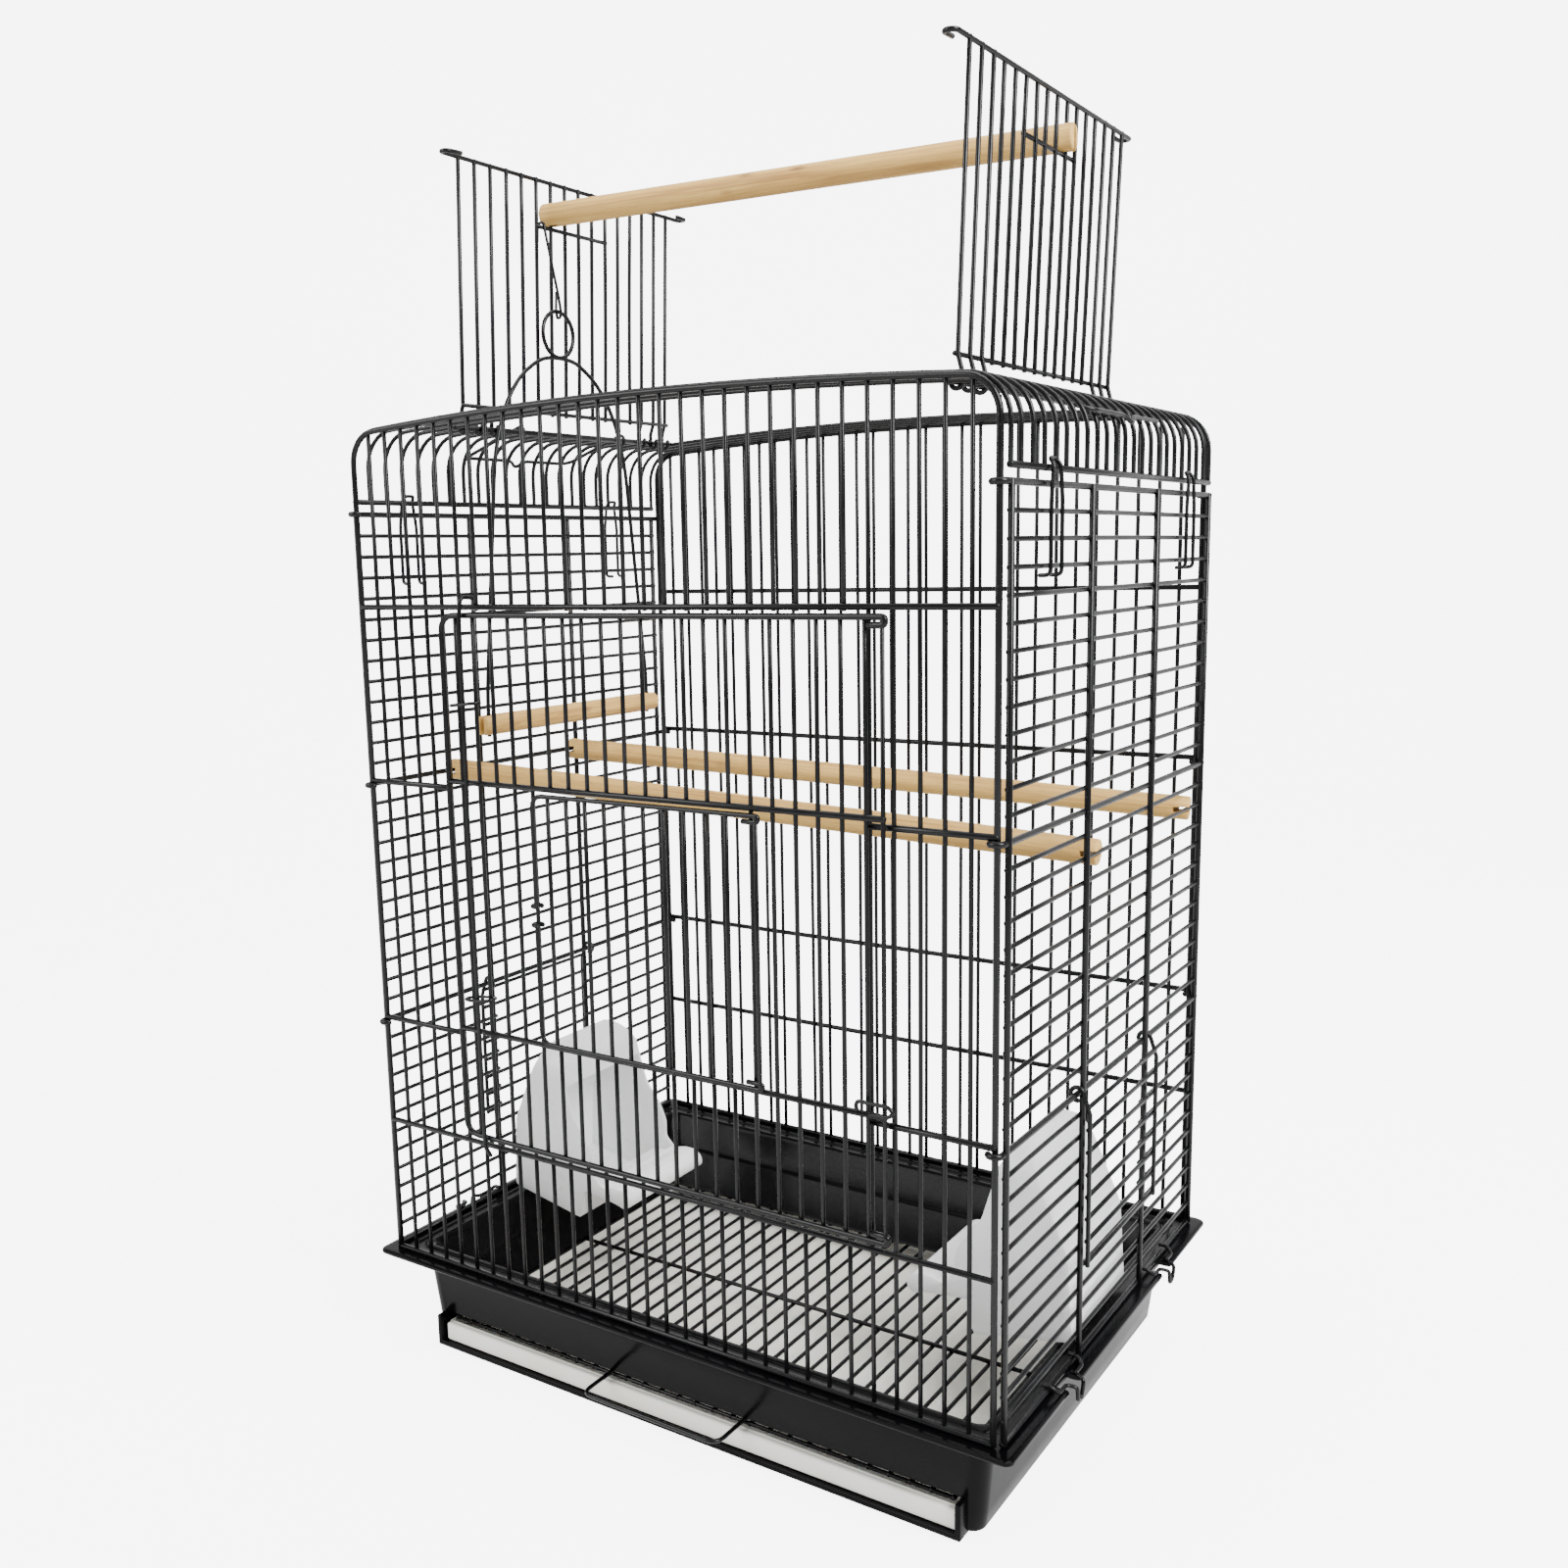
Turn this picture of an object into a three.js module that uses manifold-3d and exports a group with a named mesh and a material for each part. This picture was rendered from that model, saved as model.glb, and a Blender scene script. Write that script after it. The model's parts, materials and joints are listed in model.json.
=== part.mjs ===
// A wire bird cage with an open play top, as a scene graph in millimetres: X right along the front, -Y to the
// front, +Z up, origin on the floor under the middle. Wire panels are square-bar grilles; hooks, eyes and
// handles are round wire. Touching pieces keep a small gap.
import * as THREE from 'three';
import { mergeVertices } from 'three/addons/utils/BufferGeometryUtils.js';
import Module from 'manifold-3d';

const wasm = await Module();
wasm.setup();

// ---- driving dimensions ----
const BODY_W = 450;                 // wire body, corner wire to corner wire, along X
const BODY_D = 328;                 // front panel to back panel, along Y
const RIM_Z = 74;                   // bottom wire of the body above the floor
const LEVEL_D = RIM_Z + 94;         // horizontal bars of the front, from the bottom up
const LEVEL_C = RIM_Z + 168;
const LEVEL_B = RIM_Z + 332;
const LEVEL_A = RIM_Z + 447;
const SIDE_TOP = RIM_Z + 507;       // top wire of a side panel
const SKIRT_Z = RIM_Z + 515;        // lowest wire of the roof
const SHOULDER_Z = RIM_Z + 560;     // where the roof arch starts
const CROWN_Z = RIM_Z + 567;        // middle of the roof arch
const SHOULDER_X = 205;
const THIN = 2.2;                   // bar of a grille wire
const THICK = 3.2;                  // bar of a frame wire
const GAP = 0.3;                    // clearance between separate pieces
const WIRE_R = 1.2;                 // round wire of hooks, eyes and clips
const FRONT_PITCH = BODY_W / 31;
const SIDE_PITCH = 13.7;
const ROOF_PITCH = 14.8;
const SIDE_X = BODY_W / 2 + 4;      // plane of a side panel
const SIDE_POST_Y = 160.4;
const SIDE_VERTICAL_Y = 54;         // the two inner stiffener wires of a side panel
const FEEDER_ROW = 4;               // grille rows under and over the feeder opening
const HINGE_ROW = 12;

// ---- shapes and booleans ----
function solidOf(geometry) {
  const plain = geometry.index ? geometry.toNonIndexed() : geometry;
  plain.deleteAttribute('normal');
  plain.deleteAttribute('uv');
  const merged = mergeVertices(plain, 1e-4);
  const mesh = new wasm.Mesh({
    numProp: 3,
    vertProperties: new Float32Array(merged.attributes.position.array),
    triVerts: new Uint32Array(merged.index.array),
  });
  return new wasm.Manifold(mesh);
}

function box(x0, x1, y0, y1, z0, z1) {
  const shape = new THREE.BoxGeometry(x1 - x0, y1 - y0, z1 - z0);
  return solidOf(shape.translate((x0 + x1) / 2, (y0 + y1) / 2, (z0 + z1) / 2));
}

function outline(points) {
  return new THREE.Shape(points.map(([a, b]) => new THREE.Vector2(a, b)));
}

// A shape drawn in X and Z, extruded along Y from y0 to y1.
function prismAlongY(shape, y0, y1) {
  const geometry = new THREE.ExtrudeGeometry(shape, { depth: y1 - y0, bevelEnabled: false, curveSegments: 4 });
  return solidOf(geometry.rotateX(Math.PI / 2).translate(0, y1, 0));
}

function joined(solids) {
  return wasm.Manifold.union(solids);
}

function mirroredX(solid) {
  return solid.mirror([1, 0, 0]);
}

// A curve that keeps every corner of its points.
class Corners extends THREE.Curve {
  constructor(points) {
    super();
    this.points = points.map((p) => new THREE.Vector3(...p));
  }

  getPoint(t, target = new THREE.Vector3()) {
    const last = this.points.length - 1;
    const i = Math.min(Math.floor(t * last + 1e-9), last - 1);
    return target.lerpVectors(this.points[i], this.points[i + 1], t * last - i);
  }

  getPointAt(u, target) {
    return this.getPoint(u, target);
  }

  getTangentAt(u, target = new THREE.Vector3()) {
    const i = Math.round(u * (this.points.length - 1));
    const before = this.points[Math.max(i - 1, 0)];
    const after = this.points[Math.min(i + 1, this.points.length - 1)];
    return target.subVectors(after, before).normalize();
  }
}

// Round wire through the points, with closed ends.
function wire(points, radius = WIRE_R, sides = 6) {
  const curve = new Corners(points);
  const ring = [];
  for (let i = 0; i < sides; i += 1) {
    const angle = (2 * Math.PI * i) / sides;
    ring.push([radius * Math.cos(angle), radius * Math.sin(angle)]);
  }
  const geometry = new THREE.ExtrudeGeometry(outline(ring), { steps: points.length - 1, extrudePath: curve });
  return solidOf(geometry);
}

// Points on an arc in the X-Z plane at a given y; angles in degrees from +X towards +Z.
function arcXZ(cx, cz, radius, from, to, count, y) {
  const points = [];
  for (let i = 0; i <= count; i += 1) {
    const angle = THREE.MathUtils.degToRad(from + ((to - from) * i) / count);
    points.push([cx + radius * Math.cos(angle), y, cz + radius * Math.sin(angle)]);
  }
  return points;
}

// Points on an arc in the X-Y plane at a given z.
function arcXY(cx, cy, radius, from, to, count, z) {
  return arcXZ(cx, cy, radius, from, to, count, 0).map(([x, , y]) => [x, y, z]);
}

const body = new THREE.Group();
const BLACK_WIRE = { color: 0x111214, roughness: 0.35, metalness: 0.3 };
const BLACK_PLASTIC = { color: 0x0d0e10, roughness: 0.25, metalness: 0 };
const TRAY_PLASTIC = { color: 0xcfcdc0, roughness: 0.45, metalness: 0 };
const CUP_PLASTIC = { color: 0xe9e9e6, roughness: 0.3, metalness: 0 };
const WOOD = { color: 0xc9a06c, roughness: 0.7, metalness: 0 };

function add(name, solid, look) {
  const { vertProperties, triVerts } = solid.getMesh();
  const geometry = new THREE.BufferGeometry();
  geometry.setAttribute('position', new THREE.BufferAttribute(vertProperties, 3));
  geometry.setIndex(new THREE.BufferAttribute(triVerts, 1));
  const mesh = new THREE.Mesh(geometry, new THREE.MeshStandardMaterial(look));
  mesh.name = name;
  body.add(mesh);
}

// ---- grilles ----
// The slots between neighbouring bars, as [low, high] pairs. Each bar is [centre, width].
function slotsBetween(bars) {
  return bars.slice(1).map(([centre, width], i) => [bars[i][0] + bars[i][1] / 2, centre - width / 2]);
}

// The corner bars are a hair wider than the frame around them, so that no two faces coincide.
function frontBars() {
  const bars = [];
  for (let i = 0; i <= 31; i += 1) {
    bars.push([-BODY_W / 2 + FRONT_PITCH * i, i === 0 || i === 31 ? THICK + 0.1 : THIN]);
  }
  return bars;
}

// The roof's cross-section: an arch on two rounded shoulders, moved out by offset, down to z = low.
function archShape(offset, low, x = SIDE_X) {
  const shoulder = x - SHOULDER_X;
  const side = SHOULDER_X + shoulder + offset;
  const right = arcXZ(SHOULDER_X, SHOULDER_Z - shoulder, shoulder + offset, 0, 90, 4, 0).map(([a, , b]) => [a, b]);
  const crown = [-0.5, 0, 0.5].map((t) => [-2 * t * SHOULDER_X * 0.5, CROWN_Z + offset - 7 * (t * t)]);
  const left = right.map(([a, b]) => [-a, b]).reverse();
  return outline([[side, low], ...right, ...crown.reverse().map(([a, b]) => [-a, b]), ...left, [-side, low]]);
}

const DOOR_POST = 5;                // front wires beside the big door opening: number 5 from each end

function frontPanel() {
  const y0 = -BODY_D / 2 - THIN / 2;
  const y1 = y0 + THIN;
  const outer = prismAlongY(archShape(0, RIM_Z - THICK / 2, BODY_W / 2 + THICK / 2), y0, y1);
  const inner = prismAlongY(archShape(-THICK, RIM_Z, BODY_W / 2 + THICK / 2), y0 - 1, y1 + 1);
  const columns = slotsBetween(frontBars());
  const slots = [];
  const cut = (x0, x1, z0, z1) => slots.push(box(x0, x1, y0 - 1, y1 + 1, z0, z1));
  columns.forEach(([x0, x1], i) => {
    cut(x0, x1, RIM_Z + THICK / 2, LEVEL_D - THICK / 2);
    cut(x0, x1, LEVEL_A + THICK / 2, CROWN_Z + 10);
    if (i < DOOR_POST || i >= columns.length - DOOR_POST) {
      cut(x0, x1, LEVEL_D + THICK / 2, LEVEL_C - THICK / 2);
      cut(x0, x1, LEVEL_C + THICK / 2, LEVEL_B - THICK / 2);
      cut(x0, x1, LEVEL_B + THICK / 2, LEVEL_A - THICK / 2);
    }
  });
  const openingX = columns[DOOR_POST][0];
  cut(openingX, -openingX, LEVEL_D + THICK / 2, LEVEL_A - THICK / 2);
  return outer.subtract(joined(slots).intersect(inner));
}

// The back has its bars behind the uprights, welded on at the corner wires.
function backPanel() {
  const y0 = BODY_D / 2 - THIN / 2;
  const y1 = y0 + THIN;
  const half = BODY_W / 2 + THICK / 2;
  const outer = prismAlongY(archShape(0, RIM_Z - THICK / 2, half), y0, y1);
  const inner = prismAlongY(archShape(-THICK, RIM_Z + THICK / 2, half), y0 - 1, y1 + 1);
  const slots = slotsBetween(frontBars()).map(([x0, x1]) => box(x0, x1, y0 - 1, y1 + 1, RIM_Z, CROWN_Z + 10));
  const parts = [outer.subtract(joined(slots).intersect(inner))];
  for (const z of [LEVEL_D, LEVEL_C, LEVEL_B, LEVEL_A]) {
    const end = half - 0.3;
    const bar = box(-end, end, y1 - 0.6, y1 + GAP + THICK, z - THICK / 2, z + THICK / 2);
    const free = end - THICK + 0.4;
    parts.push(bar.subtract(box(-free, free, y1 - 1, y1 + GAP, z - THICK, z + THICK)));
  }
  return joined(parts);
}

function sidePanel() {
  const x0 = SIDE_X - THIN / 2;
  const x1 = x0 + THIN;
  const yEdge = SIDE_POST_Y + THICK / 2;
  const rows = [];
  for (let k = 0; k <= 36; k += 1) {
    rows.push([RIM_Z + SIDE_PITCH * k, k % HINGE_ROW === 0 ? THICK : THIN]);
  }
  rows.push([SIDE_TOP, THICK]);
  const plate = box(x0, x1, -yEdge, yEdge, RIM_Z - THICK / 2, SIDE_TOP + THICK / 2);
  const slots = [];
  const inside = SIDE_POST_Y - THICK / 2;
  slotsBetween(rows).forEach(([z0, z1], k) => {
    if (k < FEEDER_ROW || k >= HINGE_ROW) {
      slots.push(box(x0 - 1, x1 + 1, -inside, inside, z0, z1));
      return;
    }
    const post = SIDE_VERTICAL_Y + THICK / 2;
    slots.push(box(x0 - 1, x1 + 1, -inside, -post, z0, z1), box(x0 - 1, x1 + 1, post, inside, z0, z1));
  });
  const low = rows[FEEDER_ROW][0] + THIN / 2;
  const high = rows[HINGE_ROW][0] - THICK / 2;
  const opening = SIDE_VERTICAL_Y - THICK / 2;
  slots.push(box(x0 - 1, x1 + 1, -opening, opening, low, high));
  const parts = [plate.subtract(joined(slots))];
  for (const y of [-SIDE_VERTICAL_Y, SIDE_VERTICAL_Y]) {
    const [y0, y1] = [y - THICK / 2, y + THICK / 2];
    parts.push(box(x1 + GAP, x1 + GAP + THICK, y0, y1, RIM_Z - THICK / 2, SIDE_TOP + THICK / 2));
    for (const z of [RIM_Z, SIDE_TOP]) {
      parts.push(box(x1 - 0.5, x1 + GAP + 1, y0, y1, z - THICK / 2, z + THICK / 2));
    }
  }
  return joined(parts);
}

// ---- roof ----
const HINGE_X = 177;                // roof wires that carry the flaps and the handles
const HINGE_Z = CROWN_Z - 5.2;
const OPENING_Y = 8 * ROOF_PITCH;
const ROOF_END_Y = 160.5;

function roofPanel() {
  const strip = prismAlongY(archShape(THIN / 2, SKIRT_Z), -ROOF_END_Y - THIN / 2, ROOF_END_Y + THIN / 2);
  const hollow = prismAlongY(archShape(-THIN / 2, SKIRT_Z - 5), -ROOF_END_Y - 5, ROOF_END_Y + 5);
  const skirts = [-1, 1].map((side) => {
    const x = side * SIDE_X;
    const yEdge = ROOF_END_Y + THIN / 2;
    return box(x - THICK / 2, x + THICK / 2, -yEdge, yEdge, SKIRT_Z - THICK / 2, SKIRT_Z + THICK / 2);
  });
  const wires = [[-ROOF_END_Y, THIN]];
  for (let k = -10; k <= 10; k += 1) {
    wires.push([ROOF_PITCH * k, THIN]);
  }
  wires.push([ROOF_END_Y, THIN]);
  const cuts = [];
  const [low, high] = [SKIRT_Z + THICK / 2, CROWN_Z + 20];
  slotsBetween(wires).forEach(([y0, y1]) => {
    if (Math.abs(y0 + y1) / 2 > OPENING_Y) {
      cuts.push(box(-SIDE_X - 5, SIDE_X + 5, y0, y1, low, high));
      return;
    }
    const inner = HINGE_X + THICK / 2;
    cuts.push(box(-SIDE_X - 5, -inner, y0, y1, low, high), box(inner, SIDE_X + 5, y0, y1, low, high));
  });
  const openingX = HINGE_X - THICK / 2;
  const openingY = OPENING_Y - THIN / 2;
  cuts.push(box(-openingX, openingX, -openingY, openingY, low, high));
  return joined([strip.subtract(hollow).subtract(joined(cuts)), ...skirts]);
}

const FLAP_TOP_Z = RIM_Z + 729;
const FLAP_LOW_Z = RIM_Z + 576;
const FLAP_REST_Z = RIM_Z + 699;    // short cross wire that the play perch rests on
const FLAP_EDGE_Y = 7.5 * ROOF_PITCH;
const FLAP_END_Y = 127;              // ends of the top wire, beyond the last uprights
const EYE_R = 3.6;                  // centre line of the eyes round the roof hinge wires
const FLAP_LEAN = 2.3;              // both flaps lean to the right by this many degrees, tied by the play perch

// How far the lean moves a point at height z of a flap to the right.
function leanShift(z) {
  return (z - HINGE_Z) * Math.sin(THREE.MathUtils.degToRad(FLAP_LEAN));
}

function leaning(solid, side) {
  const pivot = [side * HINGE_X, 0, HINGE_Z];
  const home = solid.translate(pivot.map((v) => -v));
  return home.rotate([0, FLAP_LEAN, 0]).translate(pivot);
}

function flapWires() {
  const wires = [];
  for (let k = 0; k < 16; k += 1) {
    wires.push([-FLAP_EDGE_Y + ROOF_PITCH * k, THIN]);
  }
  return wires;
}

// Right-hand flap, standing up on its hinge wire.
function roofFlap() {
  const [x0, x1] = [HINGE_X - THIN / 2, HINGE_X + THIN / 2];
  const yEdge = FLAP_EDGE_Y + THIN / 2;
  const plate = box(x0, x1, -yEdge, yEdge, FLAP_LOW_Z - THIN / 2, FLAP_TOP_Z + THICK / 2);
  const slots = [];
  slotsBetween(flapWires()).forEach(([y0, y1], k) => {
    const [low, high] = [FLAP_LOW_Z + THIN / 2, FLAP_TOP_Z - THICK / 2];
    if (Math.abs(k - 7) > 2) {
      slots.push(box(x0 - 1, x1 + 1, y0, y1, low, high));
      return;
    }
    slots.push(box(x0 - 1, x1 + 1, y0, y1, low, FLAP_REST_Z - THIN / 2));
    slots.push(box(x0 - 1, x1 + 1, y0, y1, FLAP_REST_Z + THIN / 2, high));
  });
  const top = box(x0, x1, -FLAP_END_Y, FLAP_END_Y, FLAP_TOP_Z - THIN / 2, FLAP_TOP_Z + THIN / 2);
  const eyes = [-FLAP_EDGE_Y, FLAP_EDGE_Y].map((y) => wire([
    [HINGE_X, y, FLAP_LOW_Z],
    [HINGE_X + EYE_R * 0.8, y, HINGE_Z + EYE_R + 3],
    ...arcXZ(HINGE_X, HINGE_Z, EYE_R, 10, -230, 8, y),
  ], THIN / 2));
  return joined([plate.subtract(joined(slots)), top, ...eyes]);
}

const HANDLE_Y = 55.5;
const HANDLE_REST = [SIDE_X + 1.4, RIM_Z + 547.5];

// Carry handle, lying outwards over the right-hand shoulder.
function carryHandle() {
  const leg = (y) => arcXZ(HINGE_X, HINGE_Z, EYE_R, 75, 280, 7, y);
  const [x, z] = HANDLE_REST;
  const notch = 7;
  return wire([
    ...leg(-HANDLE_Y),
    [x - 5, -HANDLE_Y, z + 1.2],
    [x, -HANDLE_Y + 4, z],
    [x, -notch, z],
    [x + 3, 0, z - 5],
    [x, notch, z],
    [x, HANDLE_Y - 4, z],
    [x - 5, HANDLE_Y, z + 1.2],
    ...leg(HANDLE_Y).reverse(),
  ]);
}

const ROOF_CLIP_Y = 7.5 * ROOF_PITCH;
const ROOF_CLIP_LOW = SIDE_TOP - 46;
const ROOF_CLIP_X = SIDE_X + 4;

// Hairpin clip: its feet hook into the side panel and its neck closes over the roof's lowest wire.
function roofClip(y) {
  const hook = ROOF_CLIP_X - 6.5;
  const [foot, neck] = [7.4, 4.7];
  const half = (side) => [
    [hook, y + side * foot, ROOF_CLIP_LOW],
    [ROOF_CLIP_X - 1, y + side * foot, ROOF_CLIP_LOW],
    [ROOF_CLIP_X, y + side * foot, ROOF_CLIP_LOW + 1.5],
    [ROOF_CLIP_X, y + side * foot, SIDE_TOP - 8],
    [ROOF_CLIP_X, y + side * neck, SKIRT_Z + 1.5],
    [SIDE_X, y + side * (neck - 1), SKIRT_Z + 5],
  ];
  return wire([...half(-1), ...half(1).reverse()]);
}

// ---- front doors ----
const DOOR_Y = -BODY_D / 2 - 4;
const DOOR_LEFT = -149.5;
const DOOR_RIGHT = 163;
const DOOR_LOW = RIM_Z + 101;
const DOOR_HIGH = RIM_Z + 442;
const DOOR_BAR_C = RIM_Z + 173.5;
const DOOR_BAR_B = RIM_Z + 337;
const ROD_X = -130.6;
const ROD_Y = DOOR_Y - 4.5;
const ROD_R = 1.5;
const ROD_EYES = [RIM_Z + 196, RIM_Z + 387];
const SMALL_Y = DOOR_Y - 3.5;
const SMALL_HINGE_X = -BODY_W / 2 + FRONT_PITCH * 10;
const SMALL_LEFT = SMALL_HINGE_X + 2.3;
const SMALL_RIGHT = 85;
const SMALL_EYES = [RIM_Z + 196, RIM_Z + 318];

function bigDoor() {
  const [y0, y1] = [DOOR_Y - THIN / 2, DOOR_Y + THIN / 2];
  const half = THICK / 2;
  const plate = box(DOOR_LEFT - half, DOOR_RIGHT + half, y0, y1, DOOR_LOW - half, DOOR_HIGH + half);
  const bars = [[DOOR_LEFT, THICK], ...frontBars().slice(6, 27), [DOOR_RIGHT, THICK]];
  const hinge = -BODY_W / 2 + FRONT_PITCH * 10;
  const slots = [];
  const cut = (x0, x1, z0, z1) => slots.push(box(x0, x1, y0 - 1, y1 + 1, z0 + half, z1 - half));
  slotsBetween(bars).forEach(([x0, x1]) => {
    cut(x0, x1, DOOR_LOW, DOOR_BAR_C);
    cut(x0, x1, DOOR_BAR_B, DOOR_HIGH);
    if (x0 < hinge - 2 || x1 > -hinge + 2) {
      cut(x0, x1, DOOR_BAR_C, DOOR_BAR_B);
    }
  });
  cut(hinge + THIN / 2, -hinge - THIN / 2, DOOR_BAR_C, DOOR_BAR_B);
  const [left, right] = [6, 7].map((i) => -BODY_W / 2 + FRONT_PITCH * i);
  const eyes = ROD_EYES.map((z) => wire([
    [left, DOOR_Y, z],
    [left + 1, ROD_Y - 3.3, z],
    [right - 1, ROD_Y - 3.3, z],
    [right, DOOR_Y, z],
  ], 1));
  return joined([plate.subtract(joined(slots)), ...eyes]);
}

// Upright wire that the big door turns on: hooked over bar A, with its foot in front of bar D.
function hingeRod() {
  return wire([
    [ROD_X + 2, -BODY_D / 2 + 4.5, LEVEL_A - 1],
    [ROD_X + 2, -BODY_D / 2 + 4.5, LEVEL_A + 2],
    [ROD_X + 2, -BODY_D / 2 + 2, LEVEL_A + 5.5],
    [ROD_X + 2, -BODY_D / 2 - 3, LEVEL_A + 6],
    [ROD_X + 2, ROD_Y + 1, LEVEL_A + 3],
    [ROD_X, ROD_Y, LEVEL_A - 1],
    [ROD_X, ROD_Y, LEVEL_D + 2],
    [ROD_X, ROD_Y + 1.5, LEVEL_D - 2],
    [ROD_X, DOOR_Y + 0.5, LEVEL_D - 6],
  ], ROD_R, 8);
}

function smallDoor() {
  const [y0, y1] = [SMALL_Y - THIN / 2, SMALL_Y + THIN / 2];
  const [low, high] = [DOOR_BAR_C + 2, DOOR_BAR_B - 4];
  const plate = box(SMALL_LEFT - THIN / 2, SMALL_RIGHT + THIN / 2, y0, y1, low - THIN / 2, high + THIN / 2);
  const bars = [[SMALL_LEFT, THIN], ...frontBars().slice(11, 21), [SMALL_RIGHT, THIN]];
  const slots = slotsBetween(bars).map(([x0, x1]) => (
    box(x0, x1, y0 - 1, y1 + 1, low + THIN / 2, high - THIN / 2)));
  const eyes = SMALL_EYES.map((z) => wire([
    [SMALL_LEFT, SMALL_Y, z],
    ...arcXY(SMALL_HINGE_X, DOOR_Y, 2.8, -90, -330, 7, z),
  ], 0.9));
  return joined([plate.subtract(joined(slots)), ...eyes]);
}

// Wire catch that slides along the right-hand end of the big door.
function doorCatch() {
  const y = DOOR_Y - THIN / 2 - GAP - WIRE_R;
  const z = DOOR_BAR_C + 5;
  return wire([
    [DOOR_RIGHT - 15, y, z - 2.5],
    [DOOR_RIGHT - 16, y, z],
    [DOOR_RIGHT - 15, y, z + 3],
    [DOOR_RIGHT + 4, y, z + 3],
    [DOOR_RIGHT + 7, y, z],
    [DOOR_RIGHT + 4, y, z - 3],
    [DOOR_RIGHT - 8, y, z - 3],
  ], WIRE_R);
}

// ---- feeder doors and cups, built for the right-hand side ----
const FEEDER_X = SIDE_X + 7;
const FEEDER_Y = 58.5;
const FEEDER_HINGE_Z = RIM_Z + SIDE_PITCH * HINGE_ROW;

function feederDoor() {
  const [x0, x1] = [FEEDER_X - THIN / 2, FEEDER_X + THIN / 2];
  const [low, high] = [RIM_Z + 62, FEEDER_HINGE_Z - 7];
  const yEdge = FEEDER_Y + THIN / 2;
  const rows = [];
  const count = 7;
  for (let k = 0; k <= count; k += 1) {
    rows.push([low + ((high - low) * k) / count, THIN]);
  }
  const plate = box(x0, x1, -yEdge, yEdge, low - THIN / 2, high + THIN / 2);
  const inside = FEEDER_Y - THIN / 2;
  const slots = slotsBetween(rows).map(([z0, z1]) => box(x0 - 1, x1 + 1, -inside, inside, z0, z1));
  const eyes = [-FEEDER_Y, FEEDER_Y].map((y) => wire([
    [FEEDER_X, y, high - 3],
    [FEEDER_X - 0.4, y, high + 3],
    ...arcXZ(SIDE_X, FEEDER_HINGE_Z, 4, 20, 290, 9, y),
  ], THIN / 2));
  return joined([plate.subtract(joined(slots)), ...eyes]);
}

const CUP_Y = 46;
const CUP_WALL = 2;

// Side outline of the hooded cup, x outwards from the cage's middle and z from the rim.
function cupOutline() {
  return outline([
    [223.5, 2], [220, 56], [193, 117.5], [186.5, 119], [174, 103], [171, 90], [164, 67], [147, 48],
    [130, 32.5], [122, 27.5], [117, 22], [115.5, 16], [118.5, 11], [126, 12.5], [155, 12], [159, -10.5],
  ]);
}

// Space in the hood, the well and the trough, open towards the cage between the side walls.
function cupHollow() {
  return outline([
    [221.3, 4], [218, 55.5], [191.5, 115], [187.3, 116], [176, 102], [173.2, 89], [100, 89], [100, 26.5],
    [123.5, 26.5], [119, 21.2], [117.7, 16.3], [119.5, 13.4], [126, 14.6], [156.8, 14.1], [160.6, -8],
  ]);
}

function feederCup() {
  const shell = prismAlongY(cupOutline(), -CUP_Y, CUP_Y);
  const hollow = prismAlongY(cupHollow(), -CUP_Y + CUP_WALL, CUP_Y - CUP_WALL);
  return shell.subtract(hollow).translate(0, 0, RIM_Z);
}

// ---- base, tray and grate ----
const FLANGE_X = 239;
const FLANGE_Y = 173;
const BASE_TOP = RIM_Z - 2;
const SLOT_TOP = 24.2;
const SLOT_LOW = 5.5;
const TRAY_X = 197;
const SILL_X = 202;
const SILL_FRONT = -156;
const TRAY_BACK = 139;
const TRAY_FRONT = -149;
const GRATE_LOW = 18.8;
const BASE_CLIP_Y = [-80, 86];

// A rounded box that tapers from (hx0, hy0) at z0 to (hx1, hy1) at z1.
function tapered(z0, hx0, hy0, z1, hx1, hy1, r) {
  const shape = new THREE.Shape();
  const corners = [[1, 1, 0], [-1, 1, 90], [-1, -1, 180], [1, -1, 270]];
  for (const [sx, sy, start] of corners) {
    const from = THREE.MathUtils.degToRad(start);
    shape.absarc(sx * (hx0 - r), sy * (hy0 - r), r, from, from + Math.PI / 2, false);
  }
  const geometry = new THREE.ExtrudeGeometry(shape, { depth: z1 - z0, bevelEnabled: false, curveSegments: 5 });
  geometry.translate(0, 0, z0);
  const position = geometry.attributes.position;
  for (let i = 0; i < position.count; i += 1) {
    if (position.getZ(i) > (z0 + z1) / 2) {
      position.setX(i, position.getX(i) + Math.sign(position.getX(i)) * (hx1 - hx0));
      position.setY(i, position.getY(i) + Math.sign(position.getY(i)) * (hy1 - hy0));
    }
  }
  return solidOf(geometry);
}

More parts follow.
